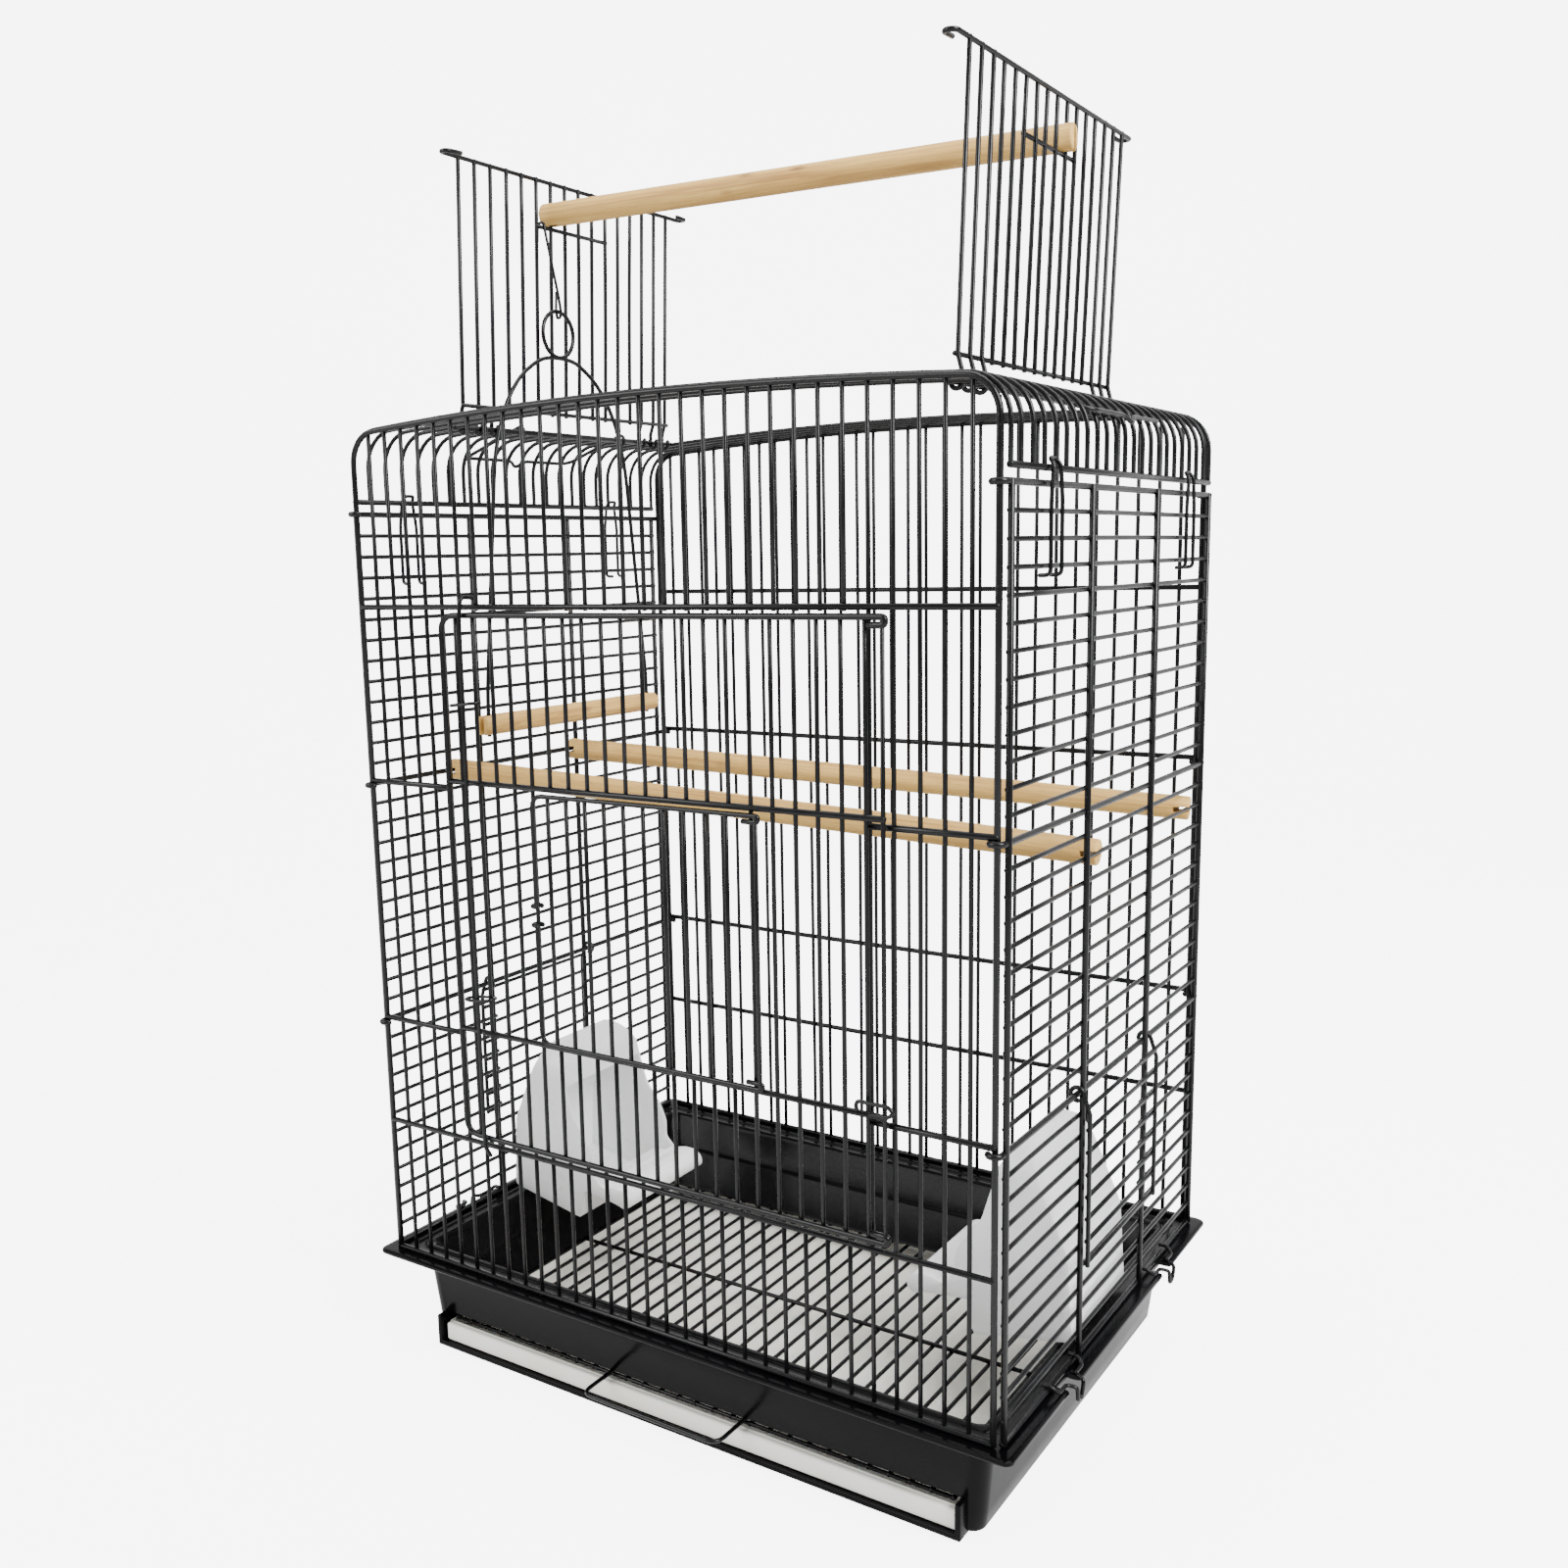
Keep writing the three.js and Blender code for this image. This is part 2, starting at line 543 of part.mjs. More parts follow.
function baseFrame() {
  const flange = tapered(BASE_TOP - 4, FLANGE_X - 1, FLANGE_Y - 1, BASE_TOP, FLANGE_X, FLANGE_Y, 6);
  const walls = tapered(2, 210, 146.5, BASE_TOP - 3, 217.5, 151.5, 10);
  const funnel = tapered(SLOT_TOP - 1, 189.5, 111.5, BASE_TOP + 0.5, 213.2, 145.8, 8);
  const behind = tapered(SLOT_TOP - 3, 207, 143.5, BASE_TOP - 6, 214, 148, 8);
  const funnelBack = tapered(SLOT_TOP - 4, 190.4, 112.8, BASE_TOP - 2, 213.8, 146.7, 8);
  const hollow = behind.subtract(funnelBack);
  const slide = box(-TRAY_X - 1.5, TRAY_X + 1.5, -200, TRAY_BACK + 1.5, SLOT_LOW, SLOT_TOP);
  const notches = [];
  for (const x of [-FLANGE_X, FLANGE_X]) {
    for (const y of BASE_CLIP_Y) {
      notches.push(box(x - 8, x + 8, y - 9, y + 9, BASE_TOP - 6, BASE_TOP + 1));
    }
  }
  const sill = box(-SILL_X, SILL_X, SILL_FRONT, -140, 2, SLOT_TOP);
  const feet = [];
  for (const x of [-170, 0, 170]) {
    for (const y of [-132, 0, 132]) {
      feet.push(box(x - 20, x + 20, y - 11, y + 11, 0, 3));
    }
  }
  return joined([flange, walls, sill, ...feet]).subtract(joined([funnel, hollow, slide, ...notches]));
}

function slideTray() {
  const [low, high] = [SLOT_LOW + 0.5, GRATE_LOW - 0.6];
  const outer = box(-TRAY_X, TRAY_X, TRAY_FRONT, TRAY_BACK, low, high);
  const inner = box(-TRAY_X + 2, TRAY_X - 2, TRAY_FRONT + 2, TRAY_BACK - 2, low + 2, high + 1);
  const fascia = box(-TRAY_X + 1, TRAY_X + 1, TRAY_FRONT - 4, TRAY_FRONT + 1, SLOT_LOW + 0.3, high + GAP);
  return joined([outer.subtract(inner), fascia]);
}

function floorGrate() {
  const [z0, z1] = [GRATE_LOW, GRATE_LOW + THIN];
  const [xEdge, front, back] = [TRAY_X - 4, TRAY_FRONT + 3, TRAY_BACK - 3];
  const count = 28;
  const wires = [];
  for (let i = 0; i <= count; i += 1) {
    wires.push([-xEdge + (2 * xEdge * i) / count, THIN]);
  }
  const plate = box(-xEdge - THIN / 2, xEdge + THIN / 2, front, back, z0, z1);
  const slots = slotsBetween(wires).map(([x0, x1]) => box(x0, x1, front + THIN, back - THIN, z0 - 1, z1 + 1));
  const middle = box(-xEdge, xEdge, -6, -6 + THICK, z1 + GAP, z1 + GAP + THIN);
  const feet = [-1, 1].map((side) => {
    const x = side * xEdge;
    return box(x - THIN / 2, x + THIN / 2, -6, -6 + THICK, z1 - 0.5, z1 + GAP + THIN);
  });
  return joined([plate.subtract(joined(slots)), middle, ...feet]);
}

function grateHandle() {
  const z = GRATE_LOW + THIN + GAP + WIRE_R;
  const half = 52;
  const reach = TRAY_FRONT - 28;
  return wire([
    [-half, TRAY_FRONT + 12, z], [-half, reach + 4, z], [-half + 4, reach, z],
    [half - 4, reach, z], [half, reach + 4, z], [half, TRAY_FRONT + 12, z],
  ], WIRE_R);
}

// Sliding wire clip on the base flange, right-hand side, that holds the body's bottom wire down.
function baseClip(y) {
  const over = RIM_Z + THICK / 2 + GAP + WIRE_R;
  const onFlange = BASE_TOP + 1.6;
  const half = (side) => [
    [SIDE_X - 2.2, y + side * 20, over],
    [SIDE_X + 3.5, y + side * 20, over],
    [SIDE_X + 6, y + side * 19, onFlange + 0.6],
    [SIDE_X + 7, y + side * 16, onFlange],
    [SIDE_X + 7, y + side * 7, onFlange],
    [FLANGE_X + 2.4, y + side * 5, onFlange - 0.5],
    [FLANGE_X + 3, y + side * 4, BASE_TOP - 4],
    [FLANGE_X + 2.6, y + side * 2.5, BASE_TOP - 9],
  ];
  return wire([...half(-1), ...half(1).reverse()]);
}

// ---- perches and swing ----
const PERCH_R = 8;

// Wooden rod between two points, with its ends cut square to X and a saw slit round each end wire.
function perch(from, to, slits) {
  const start = new THREE.Vector3(...from);
  const end = new THREE.Vector3(...to);
  const along = end.clone().sub(start);
  const rod = new THREE.CylinderGeometry(PERCH_R, PERCH_R, along.length() + 20, 16);
  const turn = new THREE.Quaternion().setFromUnitVectors(new THREE.Vector3(0, 1, 0), along.clone().normalize());
  rod.applyQuaternion(turn);
  const middle = start.clone().add(end).multiplyScalar(0.5);
  rod.translate(middle.x, middle.y, middle.z);
  const span = box(from[0], to[0], -200, 200, 0, 900);
  return solidOf(rod).intersect(span).subtract(joined(slits));
}

// Long perch whose ends sit on rows of the side panels; its slits are level.
function longPerch(leftY, leftRow, rightY, rightRow) {
  const reach = SIDE_X + 1;
  const z = (row) => RIM_Z + SIDE_PITCH * row;
  const slit = (side, row) => {
    const half = (row % HINGE_ROW === 0 ? THICK : THIN) / 2 + 0.4;
    const ends = [side * (SIDE_X - 8), side * (SIDE_X + 8)].sort((a, b) => a - b);
    return box(...ends, -200, 200, z(row) - half, z(row) + half);
  };
  const slits = [slit(-1, leftRow), slit(1, rightRow)];
  return perch([-reach, leftY, z(leftRow)], [reach, rightY, z(rightRow)], slits);
}

const PLAY_PERCH_Y = 1.5 * ROOF_PITCH;

// Perch across the play top: each end straddles one upright of a flap.
function playPerch() {
  const reach = HINGE_X + 5;
  const z = FLAP_REST_Z + THIN / 2 + GAP + PERCH_R;
  const slit = (side) => {
    const ends = [side * (HINGE_X - 7), side * (HINGE_X + 8)].sort((a, b) => a - b);
    const y = side * PLAY_PERCH_Y;
    return box(...ends, y - THIN / 2 - 0.4, y + THIN / 2 + 0.4, z - 20, z + 20);
  };
  const rod = perch([-reach, -PLAY_PERCH_Y, z], [reach, PLAY_PERCH_Y, z], [slit(-1), slit(1)]);
  return rod.translate(leanShift(z), 0, 0);
}

const SWING_X = -168;
const SWING_Y = -22;
const SWING_RING_Z = RIM_Z + 629;
const SWING_RING_R = 15.5;
const SWING_PERCH_Z = RIM_Z + 366;
const SWING_HALF = 89;
const SWING_PERCH_R = 7;
const SWING_HOOK_Y = -31.6;

// S-shaped hanger: over the left flap's short cross wire at the top, through the swing's ring below.
function swingHanger() {
  const ringTop = SWING_RING_Z + SWING_RING_R;
  const hookX = -HINGE_X + leanShift(FLAP_REST_Z);
  return wire([
    [hookX - 3.6, SWING_HOOK_Y, FLAP_REST_Z - 9],
    ...arcXZ(hookX, FLAP_REST_Z, 3.1, 190, -10, 6, SWING_HOOK_Y),
    [hookX + 4, SWING_HOOK_Y + 1, FLAP_REST_Z - 9],
    [SWING_X + 3.2, SWING_Y - 2, ringTop + 10],
    [SWING_X + 3.4, SWING_Y, ringTop - 1],
    [SWING_X + 1.5, SWING_Y + 1, ringTop - 4.2],
    [SWING_X - 2, SWING_Y + 2, ringTop - 4],
    [SWING_X - 4, SWING_Y + 3.4, ringTop + 2],
    [SWING_X - 3.6, SWING_Y + 4, ringTop + 14],
  ], 1);
}

function swingFrame() {
  const side = (sign) => [
    [SWING_X, SWING_Y + sign * (SWING_HALF - 1), SWING_PERCH_Z - SWING_PERCH_R - 1],
    [SWING_X, SWING_Y + sign * (SWING_HALF - 1), SWING_PERCH_Z + 20],
    [SWING_X, SWING_Y + sign * 70, RIM_Z + 545],
    [SWING_X, SWING_Y + sign * 58, RIM_Z + 576],
    [SWING_X, SWING_Y + sign * 40, RIM_Z + 598],
    [SWING_X, SWING_Y + sign * 18, RIM_Z + 611],
  ];
  const top = [SWING_X, SWING_Y, SWING_RING_Z - SWING_RING_R];
  const ring = [];
  for (let i = 0; i <= 14; i += 1) {
    const angle = (2 * Math.PI * (i + 0.5)) / 15 - Math.PI / 2;
    ring.push([SWING_X, SWING_Y + SWING_RING_R * Math.cos(angle), SWING_RING_Z + SWING_RING_R * Math.sin(angle)]);
  }
  return joined([wire([...side(-1), top, ...side(1).reverse()], 1.4), wire(ring, 1.4)]);
}

function swingPerch() {
  const rod = new THREE.CylinderGeometry(SWING_PERCH_R, SWING_PERCH_R, 2 * SWING_HALF + 12, 14);
  const solid = solidOf(rod.translate(SWING_X, SWING_Y, SWING_PERCH_Z));
  const holes = [-1, 1].map((side) => {
    const hole = new THREE.CylinderGeometry(1.9, 1.9, 40, 8).rotateX(Math.PI / 2);
    return solidOf(hole.translate(SWING_X, SWING_Y + side * (SWING_HALF - 1), SWING_PERCH_Z));
  });
  return solid.subtract(joined(holes));
}

// ---- the assembly ----
add('base_frame', baseFrame(), BLACK_PLASTIC);
add('slide_tray', slideTray(), TRAY_PLASTIC);
add('floor_grate', floorGrate(), BLACK_WIRE);
add('grate_pull_handle', grateHandle(), BLACK_WIRE);
add('front_panel', frontPanel(), BLACK_WIRE);
add('back_panel', backPanel(), BLACK_WIRE);
add('roof_panel', roofPanel(), BLACK_WIRE);
add('front_door', bigDoor(), BLACK_WIRE);
add('front_door_hinge_rod', hingeRod(), BLACK_WIRE);
add('front_door_catch', doorCatch(), BLACK_WIRE);
add('small_door', smallDoor(), BLACK_WIRE);

const SIDES = [['right', (solid) => solid], ['left', mirroredX]];
for (const [name, place] of SIDES) {
  add(`${name}_side_panel`, place(sidePanel()), BLACK_WIRE);
  add(`${name}_roof_flap`, leaning(place(roofFlap()), name === 'right' ? 1 : -1), BLACK_WIRE);
  add(`${name}_carry_handle`, place(carryHandle()), BLACK_WIRE);
  add(`${name}_feeder_door`, place(feederDoor()), BLACK_WIRE);
  add(`${name}_feeder_cup`, place(feederCup()), CUP_PLASTIC);
  add(`${name}_front_roof_clip`, place(roofClip(-ROOF_CLIP_Y)), BLACK_WIRE);
  add(`${name}_rear_roof_clip`, place(roofClip(ROOF_CLIP_Y)), BLACK_WIRE);
  add(`${name}_front_base_clip`, place(baseClip(BASE_CLIP_Y[0])), BLACK_WIRE);
  add(`${name}_rear_base_clip`, place(baseClip(BASE_CLIP_Y[1])), BLACK_WIRE);
}

add('front_perch', longPerch(-84, 24, -32, 22), WOOD);
add('rear_perch', longPerch(46, 24, 138, 22), WOOD);
add('play_top_perch', playPerch(), WOOD);
add('swing_hanger', swingHanger(), BLACK_WIRE);
add('swing_frame', swingFrame(), BLACK_WIRE);
add('swing_perch', swingPerch(), WOOD);

export default body;
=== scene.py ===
"""Looks for the wire bird cage: round wire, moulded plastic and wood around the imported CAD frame.

Sizes are in millimetres in the part's own frame (X right, -Y front, +Z up) and turn into metres in one place.
"""

import json
import math
import random

import bmesh
import bpy
from mathutils import Matrix, Vector

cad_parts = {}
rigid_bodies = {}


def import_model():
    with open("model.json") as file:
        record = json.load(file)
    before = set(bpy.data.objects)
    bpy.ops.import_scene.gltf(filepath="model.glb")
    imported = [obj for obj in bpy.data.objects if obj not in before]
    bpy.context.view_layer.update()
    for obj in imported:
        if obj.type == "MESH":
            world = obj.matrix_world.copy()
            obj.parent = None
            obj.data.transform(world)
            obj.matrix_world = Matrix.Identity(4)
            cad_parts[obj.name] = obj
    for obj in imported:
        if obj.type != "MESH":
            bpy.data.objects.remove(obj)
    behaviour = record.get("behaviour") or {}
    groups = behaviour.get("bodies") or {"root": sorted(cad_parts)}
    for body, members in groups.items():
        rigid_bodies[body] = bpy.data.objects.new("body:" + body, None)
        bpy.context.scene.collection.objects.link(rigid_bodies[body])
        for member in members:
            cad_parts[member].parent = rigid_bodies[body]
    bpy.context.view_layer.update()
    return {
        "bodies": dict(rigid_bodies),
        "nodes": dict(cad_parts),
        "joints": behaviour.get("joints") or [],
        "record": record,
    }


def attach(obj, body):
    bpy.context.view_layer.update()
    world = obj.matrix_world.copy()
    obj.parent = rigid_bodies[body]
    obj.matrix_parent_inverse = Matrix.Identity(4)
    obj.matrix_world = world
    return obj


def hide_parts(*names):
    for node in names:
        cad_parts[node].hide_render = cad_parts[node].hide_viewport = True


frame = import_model()

MM = 0.001
rng = random.Random(7)

# ---- the cage's driving sizes, as in the CAD ----
RIM = 74.0                        # bottom wire of the body
LEVEL_D, LEVEL_C, LEVEL_B, LEVEL_A = RIM + 94, RIM + 168, RIM + 332, RIM + 447
SIDE_TOP = RIM + 507
SKIRT = RIM + 515
SHOULDER_X, SHOULDER_Z, CROWN_Z = 205.0, RIM + 560, RIM + 567
HALF_W, PANEL_Y = 225.0, 164.0
SIDE_X, SIDE_POST_Y, SIDE_VERTICAL_Y = 229.0, 160.4, 54.0
PITCH, ROW, ROOF_PITCH = 2 * HALF_W / 31, 13.7, 14.8
THIN_R, THICK_R, HOOK_R = 1.38, 1.85, 1.25
OVERHANG = 1.4                    # how far a wire's end runs past the wire that it is welded to
EYE_R = 3.6                       # an eye round a hinge wire
COLUMNS = [-HALF_W + PITCH * i for i in range(32)]
HINGE_X, HINGE_Z = 177.0, CROWN_Z - 5.2
FLAP_LOW, FLAP_REST, FLAP_TOP = RIM + 576, RIM + 699, RIM + 729
FLAP_EDGE = 7.5 * ROOF_PITCH
FLAP_HOOK, HOOK_TURN = 124, 3.7
FLAP_LEAN = 2.3                   # degrees to the right
FRONT_CLIP_Y, REAR_CLIP_Y = -80, 86
CROWN_XS = range(180, -181, -30)
PANEL_CORNER_R, PANEL_CORNER_Z = 20.0, SHOULDER_Z - 21.6


def row_z(row):
    """Height of a side panel's wire, counted from the bottom one."""
    return RIM + ROW * row


# ---- curves and tubes ----
def rounded(points, radius, steps=4):
    """The same line with each inner corner turned into a bend."""
    points = [Vector(p) for p in points]
    out = [points[0]]
    for a, corner, b in zip(points, points[1:], points[2:]):
        reach = min(radius, 0.48 * (a - corner).length, 0.48 * (b - corner).length)
        start = corner + (a - corner).normalized() * reach
        end = corner + (b - corner).normalized() * reach
        for i in range(steps + 1):
            t = i / steps
            out.append(start.lerp(corner, t).lerp(corner.lerp(end, t), t))
    out.append(points[-1])
    return out


def arc(centre, radius, start, end, steps, plane="xz"):
    """Points on an arc; degrees run from the plane's first axis to its second."""
    first, second = ["xyz".index(c) for c in plane]
    out = []
    for i in range(steps + 1):
        angle = math.radians(start + (end - start) * i / steps)
        p = list(centre)
        p[first] += radius * math.cos(angle)
        p[second] += radius * math.sin(angle)
        out.append(Vector(p))
    return out


def mirrored(points, side):
    """The same points, or with side = -1 their mirror image in the cage's middle plane."""
    return [Vector((side * p[0], p[1], p[2])) for p in points]


class Wires:
    """Collects round wires into one mesh."""

    def __init__(self):
        self.verts, self.faces = [], []

    def add(self, points, r, sides=10, bend=0.0, closed=False):
        path = rounded(points, bend) if bend else [Vector(p) for p in points]
        path = [p for i, p in enumerate(path) if i == 0 or (p - path[i - 1]).length > 0.02]
        count = len(path)
        tangents = []
        for i in range(count):
            if closed:
                t = path[(i + 1) % count] - path[i - 1]
            else:
                t = path[min(i + 1, count - 1)] - path[max(i - 1, 0)]
            tangents.append(t.normalized())
        side = tangents[0].orthogonal().normalized()
        rings = []
        for i, (p, t) in enumerate(zip(path, tangents)):
            side = (side - t * side.dot(t)).normalized()
            stretch = 1.0
            if 0 < i < count - 1:
                turn = (path[i] - path[i - 1]).normalized().dot((path[i + 1] - path[i]).normalized())
                stretch = 1 / max(math.sqrt((1 + turn) / 2), 0.7)
            rings.append((p, side.copy(), t.cross(side), r * stretch))
        if not closed:
            first, last = rings[0], rings[-1]
            soft = 0.3 * r
            rings[0] = (first[0] + tangents[0] * soft, *first[1:])
            rings[-1] = (last[0] - tangents[-1] * soft, *last[1:])
            rings.insert(0, (first[0], first[1], first[2], 0.72 * r))
            rings.append((last[0], last[1], last[2], 0.72 * r))
        base = len(self.verts)
        for p, u, v, radius in rings:
            for k in range(sides):
                a = 2 * math.pi * k / sides
                self.verts.append(p + u * (radius * math.cos(a)) + v * (radius * math.sin(a)))
        total = len(rings)
        for i in range(total if closed else total - 1):
            a, b = base + i * sides, base + ((i + 1) % total) * sides
            for k in range(sides):
                n = (k + 1) % sides
                self.faces.append((a + k, a + n, b + n, b + k))
        if not closed:
            self.faces.append(tuple(base + k for k in reversed(range(sides))))
            self.faces.append(tuple(base + (total - 1) * sides + k for k in range(sides)))

    def rod(self, a, b, r, bow=0.0, sides=10):
        """A straight wire, with the slight bow that a long one has."""
        a, b = Vector(a), Vector(b)
        if not bow:
            self.add([a, b], r, sides)
            return
        along = (b - a).normalized()
        away = along.orthogonal().normalized()
        away = Matrix.Rotation(rng.uniform(0, 2 * math.pi), 3, along) @ away * rng.uniform(0.2, 1.0) * bow
        lean = rng.uniform(-0.12, 0.12)
        steps = 6
        pts = [a.lerp(b, i / steps) + away * math.sin(math.pi * (i / steps) * (1 + lean * (1 - i / steps)))
               for i in range(steps + 1)]
        self.add(pts, r, sides)

    def lean(self, pivot, degrees):
        """Turns everything so far about a line along y through the pivot, tops to the right."""
        turn = Matrix.Rotation(math.radians(degrees), 3, "Y")
        pivot = Vector(pivot)
        self.verts = [pivot + turn @ (v - pivot) for v in self.verts]


def linked(name, data):
    """A new object of this data, put in the scene."""
    obj = bpy.data.objects.new(name, data)
    bpy.context.scene.collection.objects.link(obj)
    return obj


def piece(name, verts, faces, material, body, nodes, sharp=50):
    """A mesh that rides a body and stands for these nodes of the frame."""
    mesh = bpy.data.meshes.new(name)
    mesh.from_pydata([Vector(v) * MM for v in verts], [], faces)
    mesh.validate()
    mesh.materials.append(material)
    obj = linked(name, mesh)
    finish_mesh(obj, sharp)
    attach(obj, body)
    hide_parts(*nodes)
    return obj


def finish_mesh(obj, sharp=50):
    """Turns the faces outwards and shades them smooth, with sharp edges kept."""
    bm = bmesh.new()
    bm.from_mesh(obj.data)
    bmesh.ops.recalc_face_normals(bm, faces=bm.faces)
    bm.to_mesh(obj.data)
    bm.free()
    obj.data.shade_smooth()
    obj.data.set_sharp_from_angle(angle=math.radians(sharp))


def wire_piece(name, wires, body, node):
    piece(name, wires.verts, wires.faces, BLACK_WIRE, body, (node,))


# ---- materials ----
class Shader:
    """A node material with a few short ways to add nodes."""

    def __init__(self, name):
        self.material = bpy.data.materials.new(name)
        self.material.use_nodes = True
        self.nodes = self.material.node_tree.nodes
        self.links = self.material.node_tree.links
        self.bsdf = self.nodes["Principled BSDF"]
        self.coords = self.nodes.new("ShaderNodeTexCoord").outputs["Object"]

    def set(self, **values):
        for key, value in values.items():
            self.bsdf.inputs[key.replace("_", " ")].default_value = value

    def mapped(self, source, scale):
        node = self.nodes.new("ShaderNodeMapping")
        node.inputs["Scale"].default_value = scale
        self.links.new(source, node.inputs["Vector"])
        return node.outputs["Vector"]

    def noise(self, source, scale, detail, rough=0.55, distortion=0.0):
        node = self.nodes.new("ShaderNodeTexNoise")
        node.inputs["Scale"].default_value = scale
        node.inputs["Detail"].default_value = detail
        node.inputs["Roughness"].default_value = rough
        node.inputs["Distortion"].default_value = distortion
        self.links.new(source, node.inputs["Vector"])
        return node.outputs["Fac"]

    def ramp(self, source, *stops):
        node = self.nodes.new("ShaderNodeValToRGB")
        elements = node.color_ramp.elements
        while len(elements) < len(stops):
            elements.new(0.5)
        for element, (at, colour) in zip(elements, stops):
            element.position = at
            element.color = (*colour, 1)
        self.links.new(source, node.inputs["Fac"])
        return node.outputs["Color"]

    def mask(self, source, low, high):
        """Black up to low, white from high."""
        return self.ramp(source, (low, (0, 0, 0)), (high, (1, 1, 1)))

    def range(self, source, low, high, start=0.0, end=1.0):
        node = self.nodes.new("ShaderNodeMapRange")
        node.inputs["From Min"].default_value = start
        node.inputs["From Max"].default_value = end
        node.inputs["To Min"].default_value = low
        node.inputs["To Max"].default_value = high
        self.links.new(source, node.inputs["Value"])
        return node.outputs["Result"]

    def mix(self, factor, base, colour):
        """The base, turned towards one plain colour by the factor."""
        node = self.nodes.new("ShaderNodeMix")
        node.data_type = "RGBA"
        self.links.new(factor, node.inputs[0])
        self.links.new(base, node.inputs[6])
        node.inputs[7].default_value = (*colour, 1)
        return node.outputs[2]

    def math(self, operation, a, b):
        node = self.nodes.new("ShaderNodeMath")
        node.operation = operation
        for socket, value in zip(node.inputs, (a, b)):
            if hasattr(value, "is_linked"):
                self.links.new(value, socket)
            else:
                socket.default_value = value
        return node.outputs[0]

    def bump(self, height, strength, distance, before=None):
        node = self.nodes.new("ShaderNodeBump")
        node.inputs["Strength"].default_value = strength
        node.inputs["Distance"].default_value = distance
        self.links.new(height, node.inputs["Height"])
        if before:
            self.links.new(before, node.inputs["Normal"])
        self.links.new(node.outputs["Normal"], self.bsdf.inputs["Normal"])
        return node.outputs["Normal"]

    def feed(self, **sockets):
        for key, source in sockets.items():
            self.links.new(source, self.bsdf.inputs[key.replace("_", " ")])


def coated_wire():
    s = Shader("black_powder_coat")
    s.set(Specular_IOR_Level=0.2, Coat_Weight=0.04, Coat_Roughness=0.12, IOR=1.5)
    patches = s.noise(s.coords, 45, 3)
    peel = s.noise(s.coords, 1400, 2, 0.5)
    specks = s.mask(s.noise(s.coords, 420, 2, 0.7), 0.66, 0.74)
    tone = s.ramp(patches, (0.3, (0.0015, 0.0015, 0.0018)), (0.75, (0.0045, 0.0045, 0.005)))
    s.feed(Base_Color=s.mix(specks, tone, (0.02, 0.02, 0.021)),
           Roughness=s.range(patches, 0.2, 0.36, 0.3, 0.7))
    s.bump(peel, 0.22, 0.00025)
    return s.material


def base_plastic():
    s = Shader("black_moulded_plastic")
    s.set(IOR=1.5, Specular_IOR_Level=0.08)
    cloud = s.noise(s.coords, 14, 4)
    scratches = s.noise(s.mapped(s.coords, (12, 500, 500)), 1.0, 5, 0.7)
    scuffs = s.mask(scratches, 0.6, 0.72)
    dust = s.mask(s.noise(s.coords, 900, 2, 0.8), 0.7, 0.76)
    tone = s.ramp(cloud, (0.3, (0.001, 0.001, 0.0012)), (0.75, (0.0025, 0.0025, 0.003)))
    tone = s.mix(s.math("MULTIPLY", dust, 0.3), tone, (0.02, 0.02, 0.019))
    rough = s.math("ADD", s.range(cloud, 0.12, 0.24, 0.3, 0.7), s.math("MULTIPLY", scuffs, 0.1))
    s.feed(Base_Color=tone, Roughness=rough)
    grain = s.bump(s.noise(s.coords, 1800, 2), 0.1, 0.0002)
    s.bump(s.noise(s.coords, 22, 2), 0.25, 0.0012, grain)
    return s.material


def tray_plastic():
    s = Shader("cream_moulded_plastic")
    s.set(IOR=1.47, Subsurface_Weight=0.06, Subsurface_Scale=0.004)
    cloud = s.noise(s.coords, 16, 5)
    specks = s.mask(s.noise(s.coords, 700, 3, 0.8), 0.62, 0.75)
    tone = s.ramp(cloud, (0.3, (0.74, 0.725, 0.65)), (0.75, (0.86, 0.85, 0.79)))
    s.feed(Base_Color=s.mix(s.math("MULTIPLY", specks, 0.5), tone, (0.42, 0.4, 0.34)),
           Roughness=s.range(cloud, 0.36, 0.55, 0.3, 0.7))
    s.bump(s.noise(s.coords, 1200, 3), 0.2, 0.0003)
    return s.material


def cup_plastic():
    s = Shader("milky_plastic")
    s.set(IOR=1.46, Subsurface_Weight=0.45, Subsurface_Scale=0.02, Transmission_Weight=0.06,
          Subsurface_Radius=(1.0, 0.95, 0.9), Coat_Weight=0.15, Coat_Roughness=0.2)
    cloud = s.noise(s.coords, 20, 4)
    flow = s.noise(s.mapped(s.coords, (30, 30, 6)), 1.0, 3)
    s.feed(Base_Color=s.ramp(flow, (0.3, (0.96, 0.965, 0.96)), (0.7, (0.985, 0.99, 0.985))),
           Roughness=s.range(cloud, 0.22, 0.38, 0.3, 0.7))
    grain = s.bump(s.noise(s.coords, 1500, 2), 0.12, 0.0002)
    s.bump(flow, 0.15, 0.0008, grain)
    return s.material


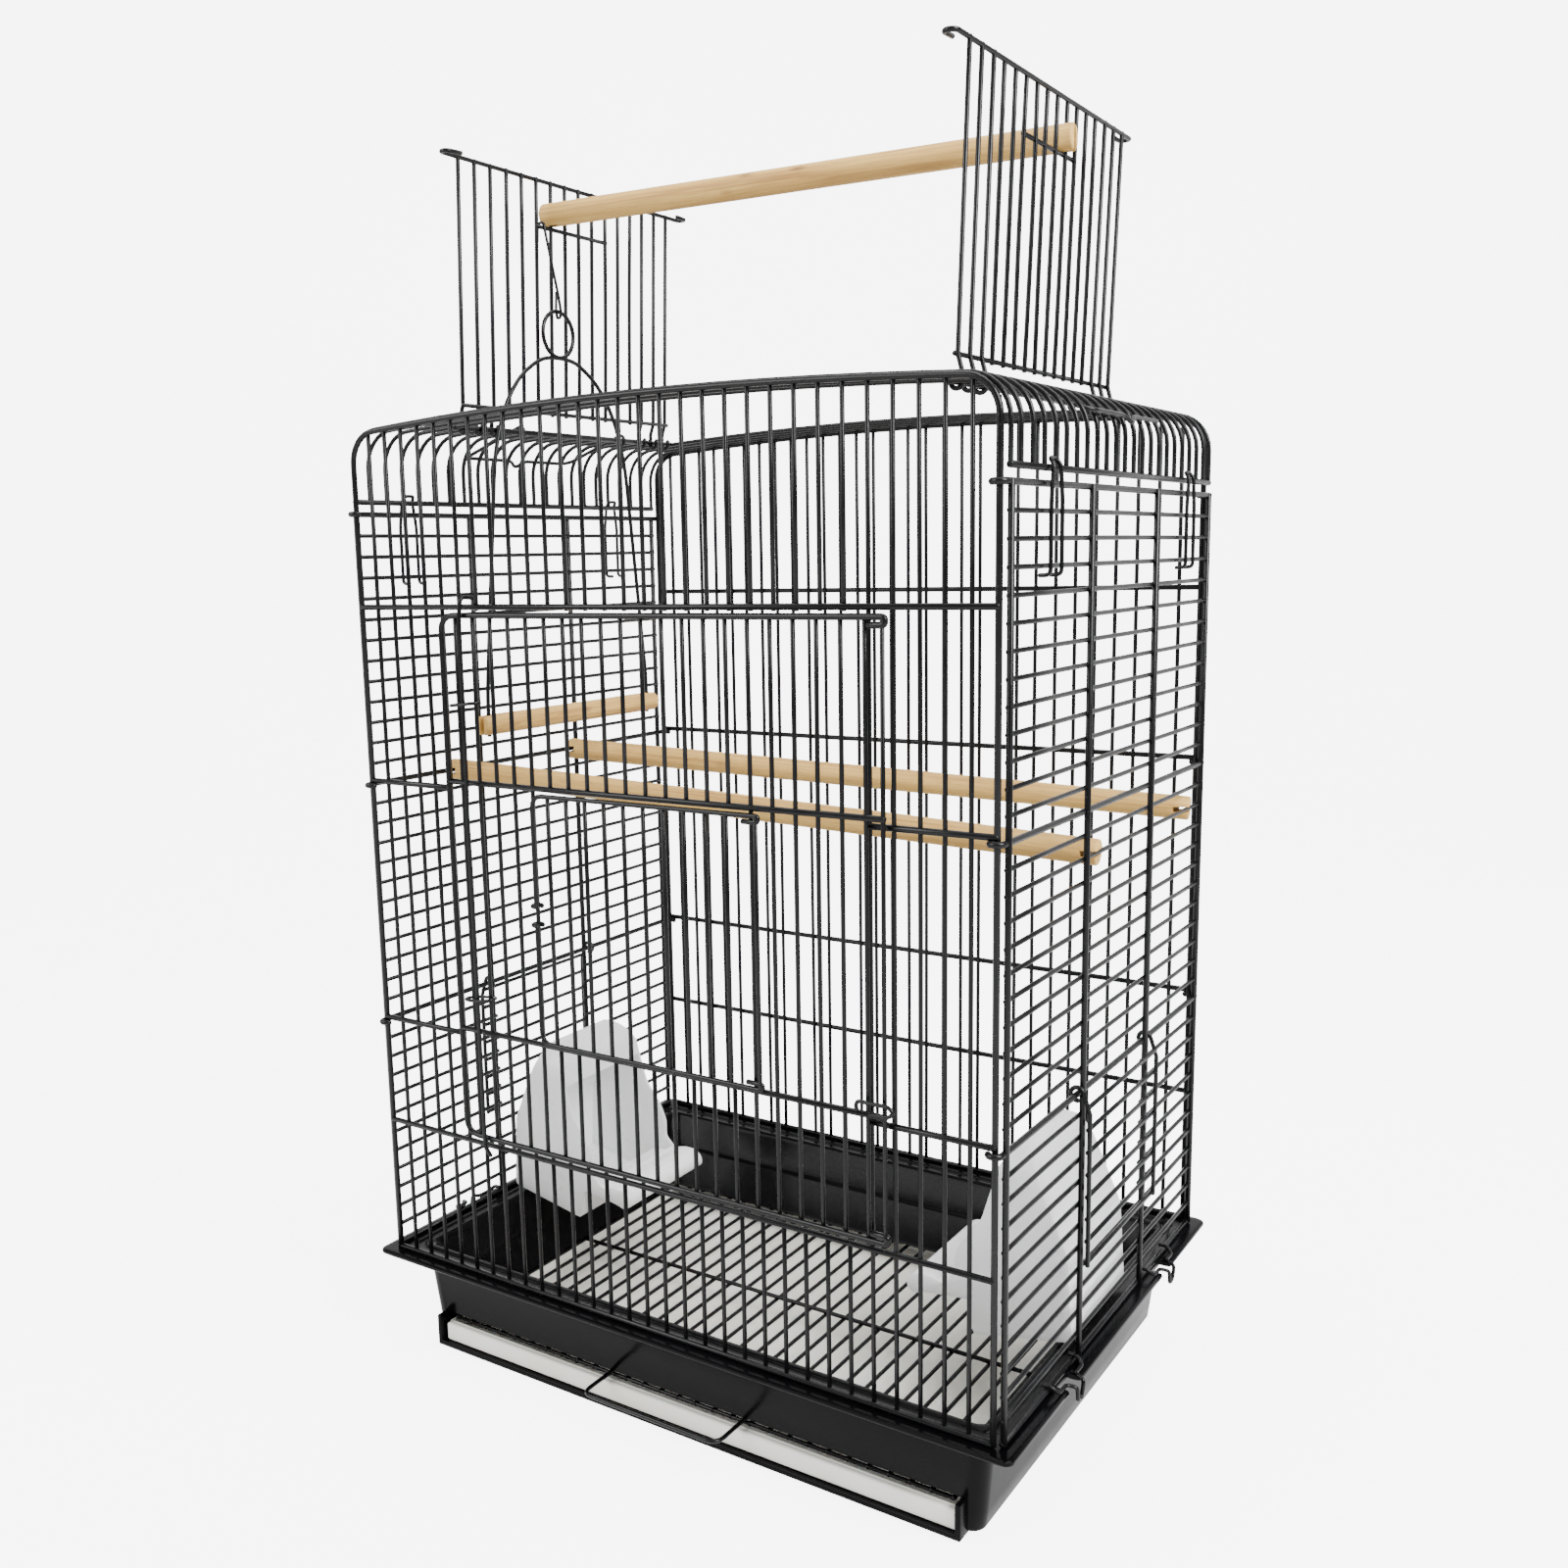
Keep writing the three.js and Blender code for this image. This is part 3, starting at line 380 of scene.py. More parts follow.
def perch_wood():
    """Wood whose grain follows each rod: the mesh carries its own coordinates along and across the rod."""
    s = Shader("bare_wood")
    s.set(IOR=1.45, Specular_IOR_Level=0.35)
    node = s.nodes.new("ShaderNodeAttribute")
    node.attribute_name = "grain"
    rod = node.outputs["Vector"]
    warp = s.noise(s.mapped(rod, (60, 60, 7)), 1.0, 2)
    figure = s.noise(s.mapped(rod, (330, 90, 5)), 1.0, 4, 0.6, 0.8)
    fibres = s.noise(s.mapped(rod, (1500, 1500, 40)), 1.0, 6, 0.65)
    pores = s.mask(s.noise(s.mapped(rod, (2600, 2600, 130)), 1.0, 2), 0.62, 0.7)
    knots = s.nodes.new("ShaderNodeTexVoronoi")
    knots.inputs["Scale"].default_value = 1.0
    s.links.new(s.mapped(rod, (75, 75, 26)), knots.inputs["Vector"])
    knot = s.ramp(knots.outputs["Distance"], (0.05, (1, 1, 1)), (0.2, (0, 0, 0)))
    pale = s.ramp(figure, (0.32, (0.68, 0.43, 0.125)), (0.5, (0.5, 0.29, 0.075)),
                  (0.62, (0.32, 0.165, 0.042)))
    tone = s.mix(s.range(warp, 0, 0.6, 0.35, 0.7), pale, (0.62, 0.39, 0.12))
    tone = s.mix(s.range(fibres, 0, 0.45, 0.45, 0.7), tone, (0.28, 0.15, 0.045))
    tone = s.mix(s.math("MULTIPLY", pores, 0.35), tone, (0.2, 0.1, 0.04))
    s.feed(Base_Color=s.mix(s.math("MULTIPLY", knot, 0.75), tone, (0.16, 0.075, 0.03)),
           Roughness=s.range(fibres, 0.5, 0.75, 0.3, 0.7))
    first = s.bump(fibres, 0.35, 0.0004)
    s.bump(figure, 0.2, 0.0006, first)
    return s.material


BLACK_WIRE = coated_wire()
BASE_PLASTIC = base_plastic()
TRAY_PLASTIC = tray_plastic()
CUP_PLASTIC = cup_plastic()
WOOD = perch_wood()


# ---- wire panels ----
def roof_line(y, start=-SIDE_X):
    """Centre line of a roof wire over the arch, from the right side to x = start."""
    radius = SIDE_X - SHOULDER_X
    foot = Vector((SIDE_X, y, SKIRT))
    shoulder = arc((SHOULDER_X, y, SHOULDER_Z - radius), radius, 0, 90, 8)
    crown = [Vector((x, y, crown_height(x))) for x in CROWN_XS]
    line = [foot, *shoulder, *crown, *mirrored([*shoulder[::-1], foot], -1)]
    return [p for p in line if p.x >= start - 0.01]


def crown_height(x):
    return CROWN_Z - 7 * (x / SHOULDER_X) ** 2


def front_arch_height(x):
    """Height of the front and back panels' top wire at x."""
    if abs(x) <= SHOULDER_X:
        return crown_height(x) - 1.6
    return PANEL_CORNER_Z + math.sqrt(max(PANEL_CORNER_R ** 2 - (abs(x) - SHOULDER_X) ** 2, 0))


def arched_panel(wires, y, upright_y, gap=None):
    """Outer frame and uprights of the front or back panel; gap is (first column, last column, low, high)."""
    foot = Vector((HALF_W, y, RIM - OVERHANG))
    corner = arc((SHOULDER_X, y, PANEL_CORNER_Z), PANEL_CORNER_R, 0, 90, 8)
    crown = [Vector((x, y, front_arch_height(x))) for x in CROWN_XS]
    wires.add([foot, *corner, *crown, *mirrored([*corner[::-1], foot], -1)], THICK_R, 12)
    wires.rod((-HALF_W, y, RIM), (HALF_W, y, RIM), THICK_R, sides=12)
    for i, x in enumerate(COLUMNS[1:-1], start=1):
        bottom, top = RIM - 0.6, front_arch_height(x) + 0.6
        if gap and gap[0] < i < gap[1]:
            wires.rod((x, upright_y, bottom), (x, upright_y, gap[2] + 2.4), THIN_R)
            wires.rod((x, upright_y, gap[3] - 2.4), (x, upright_y, top), THIN_R)
            continue
        wires.rod((x, upright_y, bottom), (x, upright_y, top), THIN_R, bow=0.7)


def front_panel():
    w = Wires()
    bar_y, upright_y = -PANEL_Y - 0.6, -PANEL_Y + 0.5
    first, last = 5, 26           # the columns beside the doorway
    arched_panel(w, -PANEL_Y, upright_y, gap=(first, last, LEVEL_D, LEVEL_A))
    for z in (LEVEL_D, LEVEL_A):
        w.rod((-HALF_W - 1, bar_y, z), (HALF_W + 1, bar_y, z), THICK_R, sides=12)
    outer, inner = HALF_W + 1, COLUMNS[last] - 1.4
    for z in (LEVEL_C, LEVEL_B):
        for side in (-1, 1):
            w.rod((side * outer, bar_y, z), (side * inner, bar_y, z), THICK_R, sides=12)
    wire_piece("front_panel_wires", w, "cage", "front_panel")


def back_panel():
    w = Wires()
    arched_panel(w, PANEL_Y, PANEL_Y - 0.4)
    for z in (LEVEL_D, LEVEL_C, LEVEL_B, LEVEL_A):
        w.rod((-HALF_W - 1, PANEL_Y + 1.4, z), (HALF_W + 1, PANEL_Y + 1.4, z), THICK_R, sides=12)
    wire_piece("back_panel_wires", w, "cage", "back_panel")


def side_panel(name, side):
    w = Wires()
    x, low, high = side * SIDE_X, RIM - OVERHANG, SIDE_TOP + OVERHANG
    for reach, offset in ((SIDE_POST_Y, 0.6), (SIDE_VERTICAL_Y, 1.6)):
        for y in (-reach, reach):
            w.rod((x + side * offset, y, low), (x + side * offset, y, high), THICK_R, sides=12)
    end, inner = SIDE_POST_Y + 1.8, SIDE_VERTICAL_Y - 2.2
    for k in range(37):
        z = row_z(k)
        if k == 0:
            w.rod((x, -end, z), (x, end, z), THICK_R)
        elif k in (12, 24):
            w.add([*corner_loop(side, -1, z), *reversed(corner_loop(side, 1, z))], THICK_R)
        elif 4 < k < 12:
            w.rod((x, -end, z), (x, -inner, z), THIN_R, bow=0.3)
            w.rod((x, inner, z), (x, end, z), THIN_R, bow=0.3)
        else:
            w.rod((x, -end, z), (x, end, z), THIN_R, bow=0.6)
    w.add([*corner_loop(side, -1, SIDE_TOP), *reversed(corner_loop(side, 1, SIDE_TOP))], THICK_R)
    wire_piece(f"{name}_side_panel_wires", w, "cage", f"{name}_side_panel")


def corner_loop(side, end, z):
    """End of a thick side wire, curled round the corner wire of the front or back panel."""
    cx, cy, curl = side * HALF_W, end * PANEL_Y, 3.7
    loop = []
    for degrees in range(-170, 1, 17):
        a = math.radians(-degrees)
        loop.append(Vector((cx + side * curl * math.cos(a), cy + end * curl * math.sin(a), z)))
    return [*loop, Vector((cx + side * 3.9, cy - end * 6, z)), Vector((side * SIDE_X, cy - end * 14, z))]


def roof_panel():
    w = Wires()
    for k in range(-10, 11):
        y = ROOF_PITCH * k
        if abs(k) >= 8:
            w.add(roof_line(y), THIN_R)
            continue
        line = roof_line(y, start=HINGE_X - 0.2)
        line.append(Vector((HINGE_X - 1.2, y, crown_height(HINGE_X) - 0.3)))
        for side in (-1, 1):
            w.add(mirrored(line, side), THIN_R)
    for y in (-160.5, 160.5):
        w.add(roof_line(y), THIN_R)
    for side in (-1, 1):
        w.rod((side * SIDE_X, -162, SKIRT), (side * SIDE_X, 162, SKIRT), THICK_R, sides=12)
        w.rod((side * HINGE_X, -120, HINGE_Z), (side * HINGE_X, 120, HINGE_Z), THICK_R, sides=12)
    wire_piece("roof_panel_wires", w, "cage", "roof_panel")


def lean_shift(z):
    """How far the lean moves a point at height z of a flap to the right."""
    return (z - HINGE_Z) * math.sin(math.radians(FLAP_LEAN))


def roof_flap(name, side):
    """Uprights and cross wires of a flap that stands on its hinge wire."""
    w = Wires()
    x, top = side * HINGE_X, FLAP_TOP + OVERHANG
    for k in range(16):
        y = -FLAP_EDGE + ROOF_PITCH * k
        if k in (0, 1, 2, 13, 14, 15):
            eye = arc((x, y, HINGE_Z), EYE_R, 50, -230, 12)
            if side < 0:
                eye = [Vector((2 * x - p.x, p.y, p.z)) for p in eye]
            foot = [(x, y, FLAP_LOW), (x + side * 2.6, y, HINGE_Z + 6), eye[0]]
            w.add([(x, y, top), *rounded(foot, 2), *eye[1:]], THIN_R)
            continue
        w.rod((x - side * 0.6, y, FLAP_LOW - 2.2), (x - side * 0.6, y, top), THIN_R, bow=0.6)
    for reach, z in ((FLAP_EDGE + 2, FLAP_LOW), (38, FLAP_REST)):
        w.rod((x - side * 1.2, -reach, z), (x - side * 1.2, reach, z), THIN_R)
    inner = x - side * HOOK_TURN
    def hook(end):
        turn = arc((HOOK_TURN, 0, 0), HOOK_TURN, 180, 0, 10)
        bend = [Vector((x - side * p.x, end * (FLAP_HOOK + p.z), FLAP_TOP)) for p in turn]
        return [*bend, Vector((inner - side * HOOK_TURN, end * (FLAP_HOOK - 9), FLAP_TOP + 0.4))]
    w.add([*reversed(hook(-1)), *hook(1)], 1.4, 12)
    w.lean((x, 0, HINGE_Z), FLAP_LEAN)
    wire_piece(f"{name}_roof_flap_wires", w, f"{name}_roof_flap", f"{name}_roof_flap")


# ---- handles and clips ----
def carry_handle(name, side):
    half, notch = 55.5, 7
    x, z = SIDE_X + 1.4, RIM + 547.5
    eye = arc((HINGE_X, 0, HINGE_Z), EYE_R, 75, 280, 10)
    def leg(y):
        return [Vector((p.x, y, p.z)) for p in eye]
    span = [(x - 5, -half, z + 1.2), (x, -half + 4, z), (x, -notch, z), (x + 3, 0, z - 5), (x, notch, z),
            (x, half - 4, z), (x - 5, half, z + 1.2)]
    start, end = leg(-half), leg(half)
    points = [*reversed(start[1:]), *rounded([start[0], *span, end[0]], 5), *end[1:]]
    w = Wires()
    w.add(mirrored(points, side), HOOK_R)
    wire_piece(f"{name}_carry_handle_wire", w, f"{name}_carry_handle", f"{name}_carry_handle")


def roof_clip(name, side, y):
    x, low = SIDE_X + 4, SIDE_TOP - 46
    def half(end):
        return [(x - 6.5, y + end * 7.4, low), (x, y + end * 7.4, low), (x, y + end * 7.4, SIDE_TOP - 8),
                (x, y + end * 4.7, SKIRT + 1.5), (SIDE_X + 1.5, y + end * 3.9, SKIRT + 4.8)]
    points = [*half(-1), *reversed(half(1))]
    w = Wires()
    w.add(mirrored(points, side), HOOK_R - 0.1, bend=3.5)
    wire_piece(f"{name}_wire", w, name, name)


def base_clip(name, side, y):
    top, over = RIM - 2, RIM + THICK_R + 0.3 + HOOK_R
    inner, outer, tip = SIDE_X - 2.6, SIDE_X + 7, 242
    def half(end):
        return [(inner, y + end * 20, over), (SIDE_X + 3.5, y + end * 20, over),
                (outer, y + end * 18, top + 1.7), (outer, y + end * 7, top + 1.6),
                (tip, y + end * 5, top + 0.8), (tip, y + end * 4, top - 4),
                (tip - 0.4, y + end * 2.5, top - 9)]
    points = [*half(-1), *reversed(half(1))]
    w = Wires()
    w.add(mirrored(points, side), HOOK_R, bend=2.5)
    wire_piece(f"{name}_wire", w, name, name)


# ---- front doors ----
DOOR_Y = -PANEL_Y - 4
DOOR_LEFT, DOOR_RIGHT = -149.5, 163.0
DOOR_LOW, DOOR_HIGH = RIM + 101, RIM + 442
DOOR_C, DOOR_B = RIM + 173.5, RIM + 337
ROD_X, ROD_Y = -130.6, DOOR_Y - 4.5
SMALL_Y = DOOR_Y - 3.5


def door_frame(w, x0, x1, z0, z1, y, r, corner, breaks=()):
    """Frame wire of a door, turned back on itself at the right.

    Breaks are the two ends that curl off its left side; without them the frame wire runs on.
    """
    gap, tip = 2.3 * r, x1 + 1.6
    top = [(x1 - 9, y, z1 - gap), (tip, y, z1 - gap), (tip, y, z1), (x0, y, z1)]
    foot = [(x1 - 9, y, z0 + gap), (tip, y, z0 + gap), (tip, y, z0), (x0, y, z0)]
    if breaks:
        for line, curl in zip((top, foot), breaks):
            w.add([*rounded([*line, curl[0], curl[1]], corner), *curl[2:]], r, 12)
    else:
        w.add([*top, *reversed(foot)], r, 12, bend=corner)
    w.rod((x1, y, z0), (x1, y, z1), THIN_R)


def front_door():
    w = Wires()
    bar_y, upright_y = DOOR_Y - 0.7, DOOR_Y + 0.1
    door_frame(w, DOOR_LEFT, DOOR_RIGHT, DOOR_LOW, DOOR_HIGH, bar_y, THICK_R, 11)
    for z in (DOOR_C, DOOR_B):
        w.rod((DOOR_LEFT - 1.4, bar_y, z), (DOOR_RIGHT + 1.4, bar_y, z), THICK_R, sides=12)
    for i in range(6, 27):
        x = COLUMNS[i]
        if 10 < i < 21:
            w.rod((x, upright_y, DOOR_LOW - 1.8), (x, upright_y, DOOR_C + 1.8), THIN_R)
            w.rod((x, upright_y, DOOR_B - 1.8), (x, upright_y, DOOR_HIGH + 1.8), THIN_R)
        else:
            w.rod((x, upright_y, DOOR_LOW - 1.8), (x, upright_y, DOOR_HIGH + 1.8), THIN_R, bow=0.4)
    for z in (RIM + 196, RIM + 387):
        w.add(hinge_ring(z), 1.0, closed=True)
    wire_piece("front_door_wires", w, "front_door", "front_door")


def hinge_ring(z):
    """Flat ring round the hinge rod and two of the door's uprights."""
    half_x, half_y, tilt = 11.5, 5.2, 1.2
    ring = []
    for k in range(24):
        a = 2 * math.pi * k / 24
        x, y = ROD_X + half_x * math.cos(a), DOOR_Y - 2.1 + half_y * math.sin(a)
        ring.append(Vector((x, y, z + tilt * math.cos(a))))
    return ring


def hinge_rod():
    x, back = ROD_X, -PANEL_Y + 4.5
    w = Wires()
    w.add([(x + 2, back, LEVEL_A - 1), (x + 2, back, LEVEL_A + 5.5), (x + 2, ROD_Y + 0.5, LEVEL_A + 6.5),
           (x + 0.6, ROD_Y, LEVEL_A - 6), (x, ROD_Y, LEVEL_B + 8), (x - 0.7, ROD_Y, LEVEL_B - 14),
           (x, ROD_Y, LEVEL_B - 60), (x, ROD_Y, LEVEL_D + 2), (x, ROD_Y + 2.6, LEVEL_D - 2),
           (x, DOOR_Y + 0.5, LEVEL_D - 6)], 1.35, 12, bend=4)
    wire_piece("front_door_hinge_rod_wire", w, "cage", "front_door_hinge_rod")


def small_door():
    w = Wires()
    hinge = COLUMNS[10]
    left, right, low, high = hinge + 2.3, 85.0, DOOR_C + 2, DOOR_B - 4
    curls = []
    for z in (RIM + 263, RIM + 251):
        eye = arc((hinge, DOOR_Y, z), 2.8, -90, -330, 12, "xy")
        curls.append([(left, SMALL_Y, z), *eye])
    door_frame(w, left, right, low, high, SMALL_Y, 1.5, 8, curls)
    for i in range(11, 21):
        w.rod((COLUMNS[i], SMALL_Y + 0.3, low - 0.8), (COLUMNS[i], SMALL_Y + 0.3, high + 0.8), THIN_R)
    wire_piece("small_door_wires", w, "small_door", "small_door")


def door_catch():
    y, z, x = DOOR_Y - 4.0, DOOR_C + 5, DOOR_RIGHT
    w = Wires()
    w.add([(x - 15, y, z - 2.5), (x - 16, y, z), (x - 15, y, z + 3), (x + 4, y, z + 3), (x + 7, y, z),
           (x + 4, y, z - 3), (x - 8, y, z - 3)], 1.15, bend=2.2)
    wire_piece("front_door_catch_wire", w, "front_door_catch", "front_door_catch")


def feeder_door(name, side):
    """Lift-up wire door over the feeder opening, with tall loops round the side panel's thick wire."""
    w = Wires()
    x, half = SIDE_X + 7, 58.5
    low, high, pivot = RIM + 62, RIM + ROW * 12 - 7, RIM + ROW * 12
    for k in range(8):
        z = low + (high - low) * k / 7
        w.rod(*mirrored([(x, -half - 1, z), (x, half + 1, z)], side), THIN_R)
    for y in (-half, half):
        eye = arc((SIDE_X, y, pivot), 4, 20, 290, 12)
        points = [(x + 0.9, y, low - 2), (x + 0.9, y, high - 4), *eye]
        w.add(mirrored([points[0], *rounded(points[1:4], 3), *eye[1:]], side), THIN_R)
    wire_piece(f"{name}_feeder_door_wires", w, f"{name}_feeder_door", f"{name}_feeder_door")


# ---- swing ----
SWING_X, SWING_Y = -168.0, -22.0
RING_Z, RING_R = RIM + 629, 15.5  # the ring that the swing hangs by
SWING_PERCH_Z, SWING_HALF = RIM + 366, 89.0


def swing_frame():
    """The swing's arched wire, with the ring that it hangs by."""
    w = Wires()
    def leg(end):
        foot_y = SWING_Y + end * (SWING_HALF - 1)
        return [(SWING_X, foot_y, SWING_PERCH_Z - 8), (SWING_X, foot_y, SWING_PERCH_Z + 20),
                (SWING_X, SWING_Y + end * 70, RIM + 545), (SWING_X, SWING_Y + end * 59, RIM + 576),
                (SWING_X, SWING_Y + end * 41, RIM + 599), (SWING_X, SWING_Y + end * 18, RIM + 612)]
    top = (SWING_X, SWING_Y, RING_Z - RING_R)
    w.add([*leg(-1), top, *reversed(leg(1))], 1.4, 12, bend=16)
    ring_half = 15.99             # the ring is a little wider than it is high
    ring = [Vector((SWING_X, SWING_Y + ring_half * math.cos(a), RING_Z + RING_R * math.sin(a)))
            for a in (2 * math.pi * k / 28 for k in range(28))]
    w.add(ring, 1.4, 12, closed=True)
    wire_piece("swing_frame_wire", w, "swing", "swing_frame")


def swing_hanger():
    """Thin wire bent over the left flap's cross wire and through the swing's ring."""
    w = Wires()
    top_z = RING_Z + RING_R
    at = -HINGE_X + lean_shift(FLAP_REST)
    hook = arc((at, -31.6, FLAP_REST), 3.1, 190, -10, 8)
    w.add([(at - 3.6, -31.6, FLAP_REST - 9), *hook, (at + 4, -30.6, FLAP_REST - 9),
           (SWING_X + 3.2, SWING_Y - 2, top_z + 10), (SWING_X + 3.4, SWING_Y, top_z - 1),
           (SWING_X + 1.5, SWING_Y + 1, top_z - 4.2), (SWING_X - 2, SWING_Y + 2, top_z - 4),
           (SWING_X - 4, SWING_Y + 3.4, top_z + 2), (SWING_X - 3.6, SWING_Y + 4, top_z + 14)], 1.0, bend=1.2)
    wire_piece("swing_hanger_wire", w, "swing_hanger", "swing_hanger")


# ---- wooden rods ----
PERCH_R, SWING_PERCH_R = 8, 7


def rod_mesh(name, start, end, radius, body, node, cuts, seed):
    """A turned rod with slightly uneven sides, eased ends and saw slits; carries its grain coordinates."""
    start, end = Vector(start), Vector(end)
    axis = (end - start).normalized()
    length = (end - start).length
    side = axis.orthogonal().normalized()
    other = axis.cross(side)
    sides, rows = 32, 40
    local = random.Random(seed)
    waves = [(local.uniform(0.5, 3.0), local.uniform(0, 6.3), local.uniform(0.02, 0.09)) for _ in range(4)]
    verts, faces = [], []
    stations = [0.0, 0.25, 0.7, 1.3] + [1.3 + (length - 2.6) * i / rows for i in range(1, rows)]
    stations += [length - 1.3, length - 0.7, length - 0.25, length]
    ease = {0.0: 1.1, 0.25: 0.55, 0.7: 0.15}
    for s in stations:
        edge = min(s, length - s)
        inset = next((v for k, v in ease.items() if abs(edge - k) < 1e-4), 0.0)
        for k in range(sides):
            a = 2 * math.pi * k / sides
            uneven = sum(h * math.sin(f * a + p + s * 0.03 * f) for f, p, h in waves if f > 1)
            uneven += sum(h * math.sin(s * 0.05 * f + p) for f, p, h in waves)
            r = radius - 0.15 - inset + uneven * 0.6
            verts.append(start + axis * s + side * (r * math.cos(a)) + other * (r * math.sin(a)))
    for i in range(len(stations) - 1):
        for k in range(sides):
            n = (k + 1) % sides
            faces.append((i * sides + k, i * sides + n, (i + 1) * sides + n, (i + 1) * sides + k))
    faces.append(tuple(reversed(range(sides))))
    faces.append(tuple((len(stations) - 1) * sides + k for k in range(sides)))
    obj = piece(name, verts, faces, WOOD, body, (node,), 35)
    for low, high in cuts:
        subtract(obj, block(low, high))
    finish_mesh(obj, 35)
    grain = obj.data.attributes.new("grain", "FLOAT_VECTOR", "POINT")
    for vertex, value in zip(obj.data.vertices, grain.data):
        p = vertex.co / MM - start
        value.vector = Vector((p.dot(side), p.dot(other), p.dot(axis) + 400 * seed)) * MM


def block(low, high):
    """A plain box, in millimetres."""
    mesh = bpy.data.meshes.new("block")
    bm = bmesh.new()
    bmesh.ops.create_cube(bm, size=1.0)
    low, high = Vector(low) * MM, Vector(high) * MM
    for v in bm.verts:
        v.co = Vector([(low[i] + high[i]) / 2 + v.co[i] * (high[i] - low[i]) for i in range(3)])
    bm.to_mesh(mesh)
    bm.free()
    return linked("block", mesh)


def apply_modifiers(obj):
    graph = bpy.context.evaluated_depsgraph_get()
    mesh = bpy.data.meshes.new_from_object(obj.evaluated_get(graph))
    obj.modifiers.clear()
    old = obj.data
    obj.data = mesh
    bpy.data.meshes.remove(old)


def subtract(obj, cutter):
    modifier = obj.modifiers.new("cut", "BOOLEAN")
    modifier.operation = "DIFFERENCE"
    modifier.solver = "EXACT"
    modifier.object = cutter
    apply_modifiers(obj)
    bpy.data.objects.remove(cutter)


def bevel(obj, width, segments=3, angle=35):
    modifier = obj.modifiers.new("edges", "BEVEL")
    modifier.width = width * MM
    modifier.segments = segments
    modifier.limit_method = "ANGLE"
    modifier.angle_limit = math.radians(angle)
    apply_modifiers(obj)


def long_perch(name, left, left_row, right, right_row, seed):
    """A perch across the cage, slit at both ends to sit on a wire of each side panel."""
    reach = SIDE_X + 0.8
    cuts = []
    for side, y, row in ((-1, left, left_row), (1, right, right_row)):
        half = (THICK_R if row % 12 == 0 else THIN_R) + 0.45
        x0, x1 = sorted((side * (SIDE_X - 8), side * (SIDE_X + 8)))
        cuts.append(((x0, y - 20, row_z(row) - half), (x1, y + 20, row_z(row) + half)))
    start, end = (-reach, left, row_z(left_row)), (reach, right, row_z(right_row))
    rod_mesh(f"{name}_wood", start, end, PERCH_R, "cage", name, cuts, seed)


def play_top_perch():
    """The perch between the leaning flaps, slit over an upright of each."""
    y, z, reach = 1.5 * ROOF_PITCH, FLAP_REST + 9.4, HINGE_X + 5
    shift = lean_shift(z)
    cuts = []
    for side in (-1, 1):
        x0, x1 = sorted((side * (HINGE_X - 7), side * (HINGE_X + 8)))
        cuts.append(((x0 + shift, side * y - 1.6, z - 20), (x1 + shift, side * y + 1.6, z + 20)))
    start, end = (shift - reach, -y, z), (shift + reach, y, z)
    rod_mesh("play_top_perch_wood", start, end, PERCH_R, "cage", "play_top_perch", cuts, 3)


def swing_perch():
    half, wire = SWING_HALF + 6, 1.9
    cuts = []
    for end in (-1, 1):
        at = SWING_Y + end * (SWING_HALF - 1)
        y0, y1 = sorted((at - end * wire, at + end * 12))
        cuts.append(((SWING_X - wire, y0, SWING_PERCH_Z - 20), (SWING_X + wire, y1, SWING_PERCH_Z + 20)))
    ends = [(SWING_X, SWING_Y + end * half, SWING_PERCH_Z) for end in (-1, 1)]
    rod_mesh("swing_perch_wood", *ends, SWING_PERCH_R, "swing", "swing_perch", cuts, 4)


# ---- plastic parts ----
SLOT_HALF, SLOT_LOW, SLOT_HIGH = 198.5, 5.5, 24.2     # the opening that the tray slides in


def rounded_ring(half_x, half_y, z, r, steps=8):
    """A level ring of points round a rectangle with corners of radius r."""
    points = []
    for sx, sy, start in ((1, 1, 0), (-1, 1, 90), (-1, -1, 180), (1, -1, 270)):
        for i in range(steps + 1):
            a = math.radians(start + 90 * i / steps)
            x, y = sx * (half_x - r) + r * math.cos(a), sy * (half_y - r) + r * math.sin(a)
            points.append(Vector((x, y, z)))
    return points


def lofted(name, rings, material, body, nodes):
    """A closed skin through rings of equal length."""
    verts = [p for ring in rings for p in ring]
    n = len(rings[0])
    faces = [tuple(reversed(range(n)))]
    for i in range(len(rings) - 1):
        for k in range(n):
            m = (k + 1) % n
            faces.append((i * n + k, i * n + m, (i + 1) * n + m, (i + 1) * n + k))
    faces.append(tuple((len(rings) - 1) * n + k for k in range(n)))
    return piece(name, verts, faces, material, body, nodes, 38)


def moulded(obj, name, material, body, edge, segments=3, angle=50, sharp=38):
    """Names a plastic part, gives it its material and soft edges, and puts it on its body."""
    obj.name = name
    obj.data.materials.clear()
    obj.data.materials.append(material)
    bevel(obj, edge, segments, angle)
    finish_mesh(obj, sharp)
    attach(obj, body)


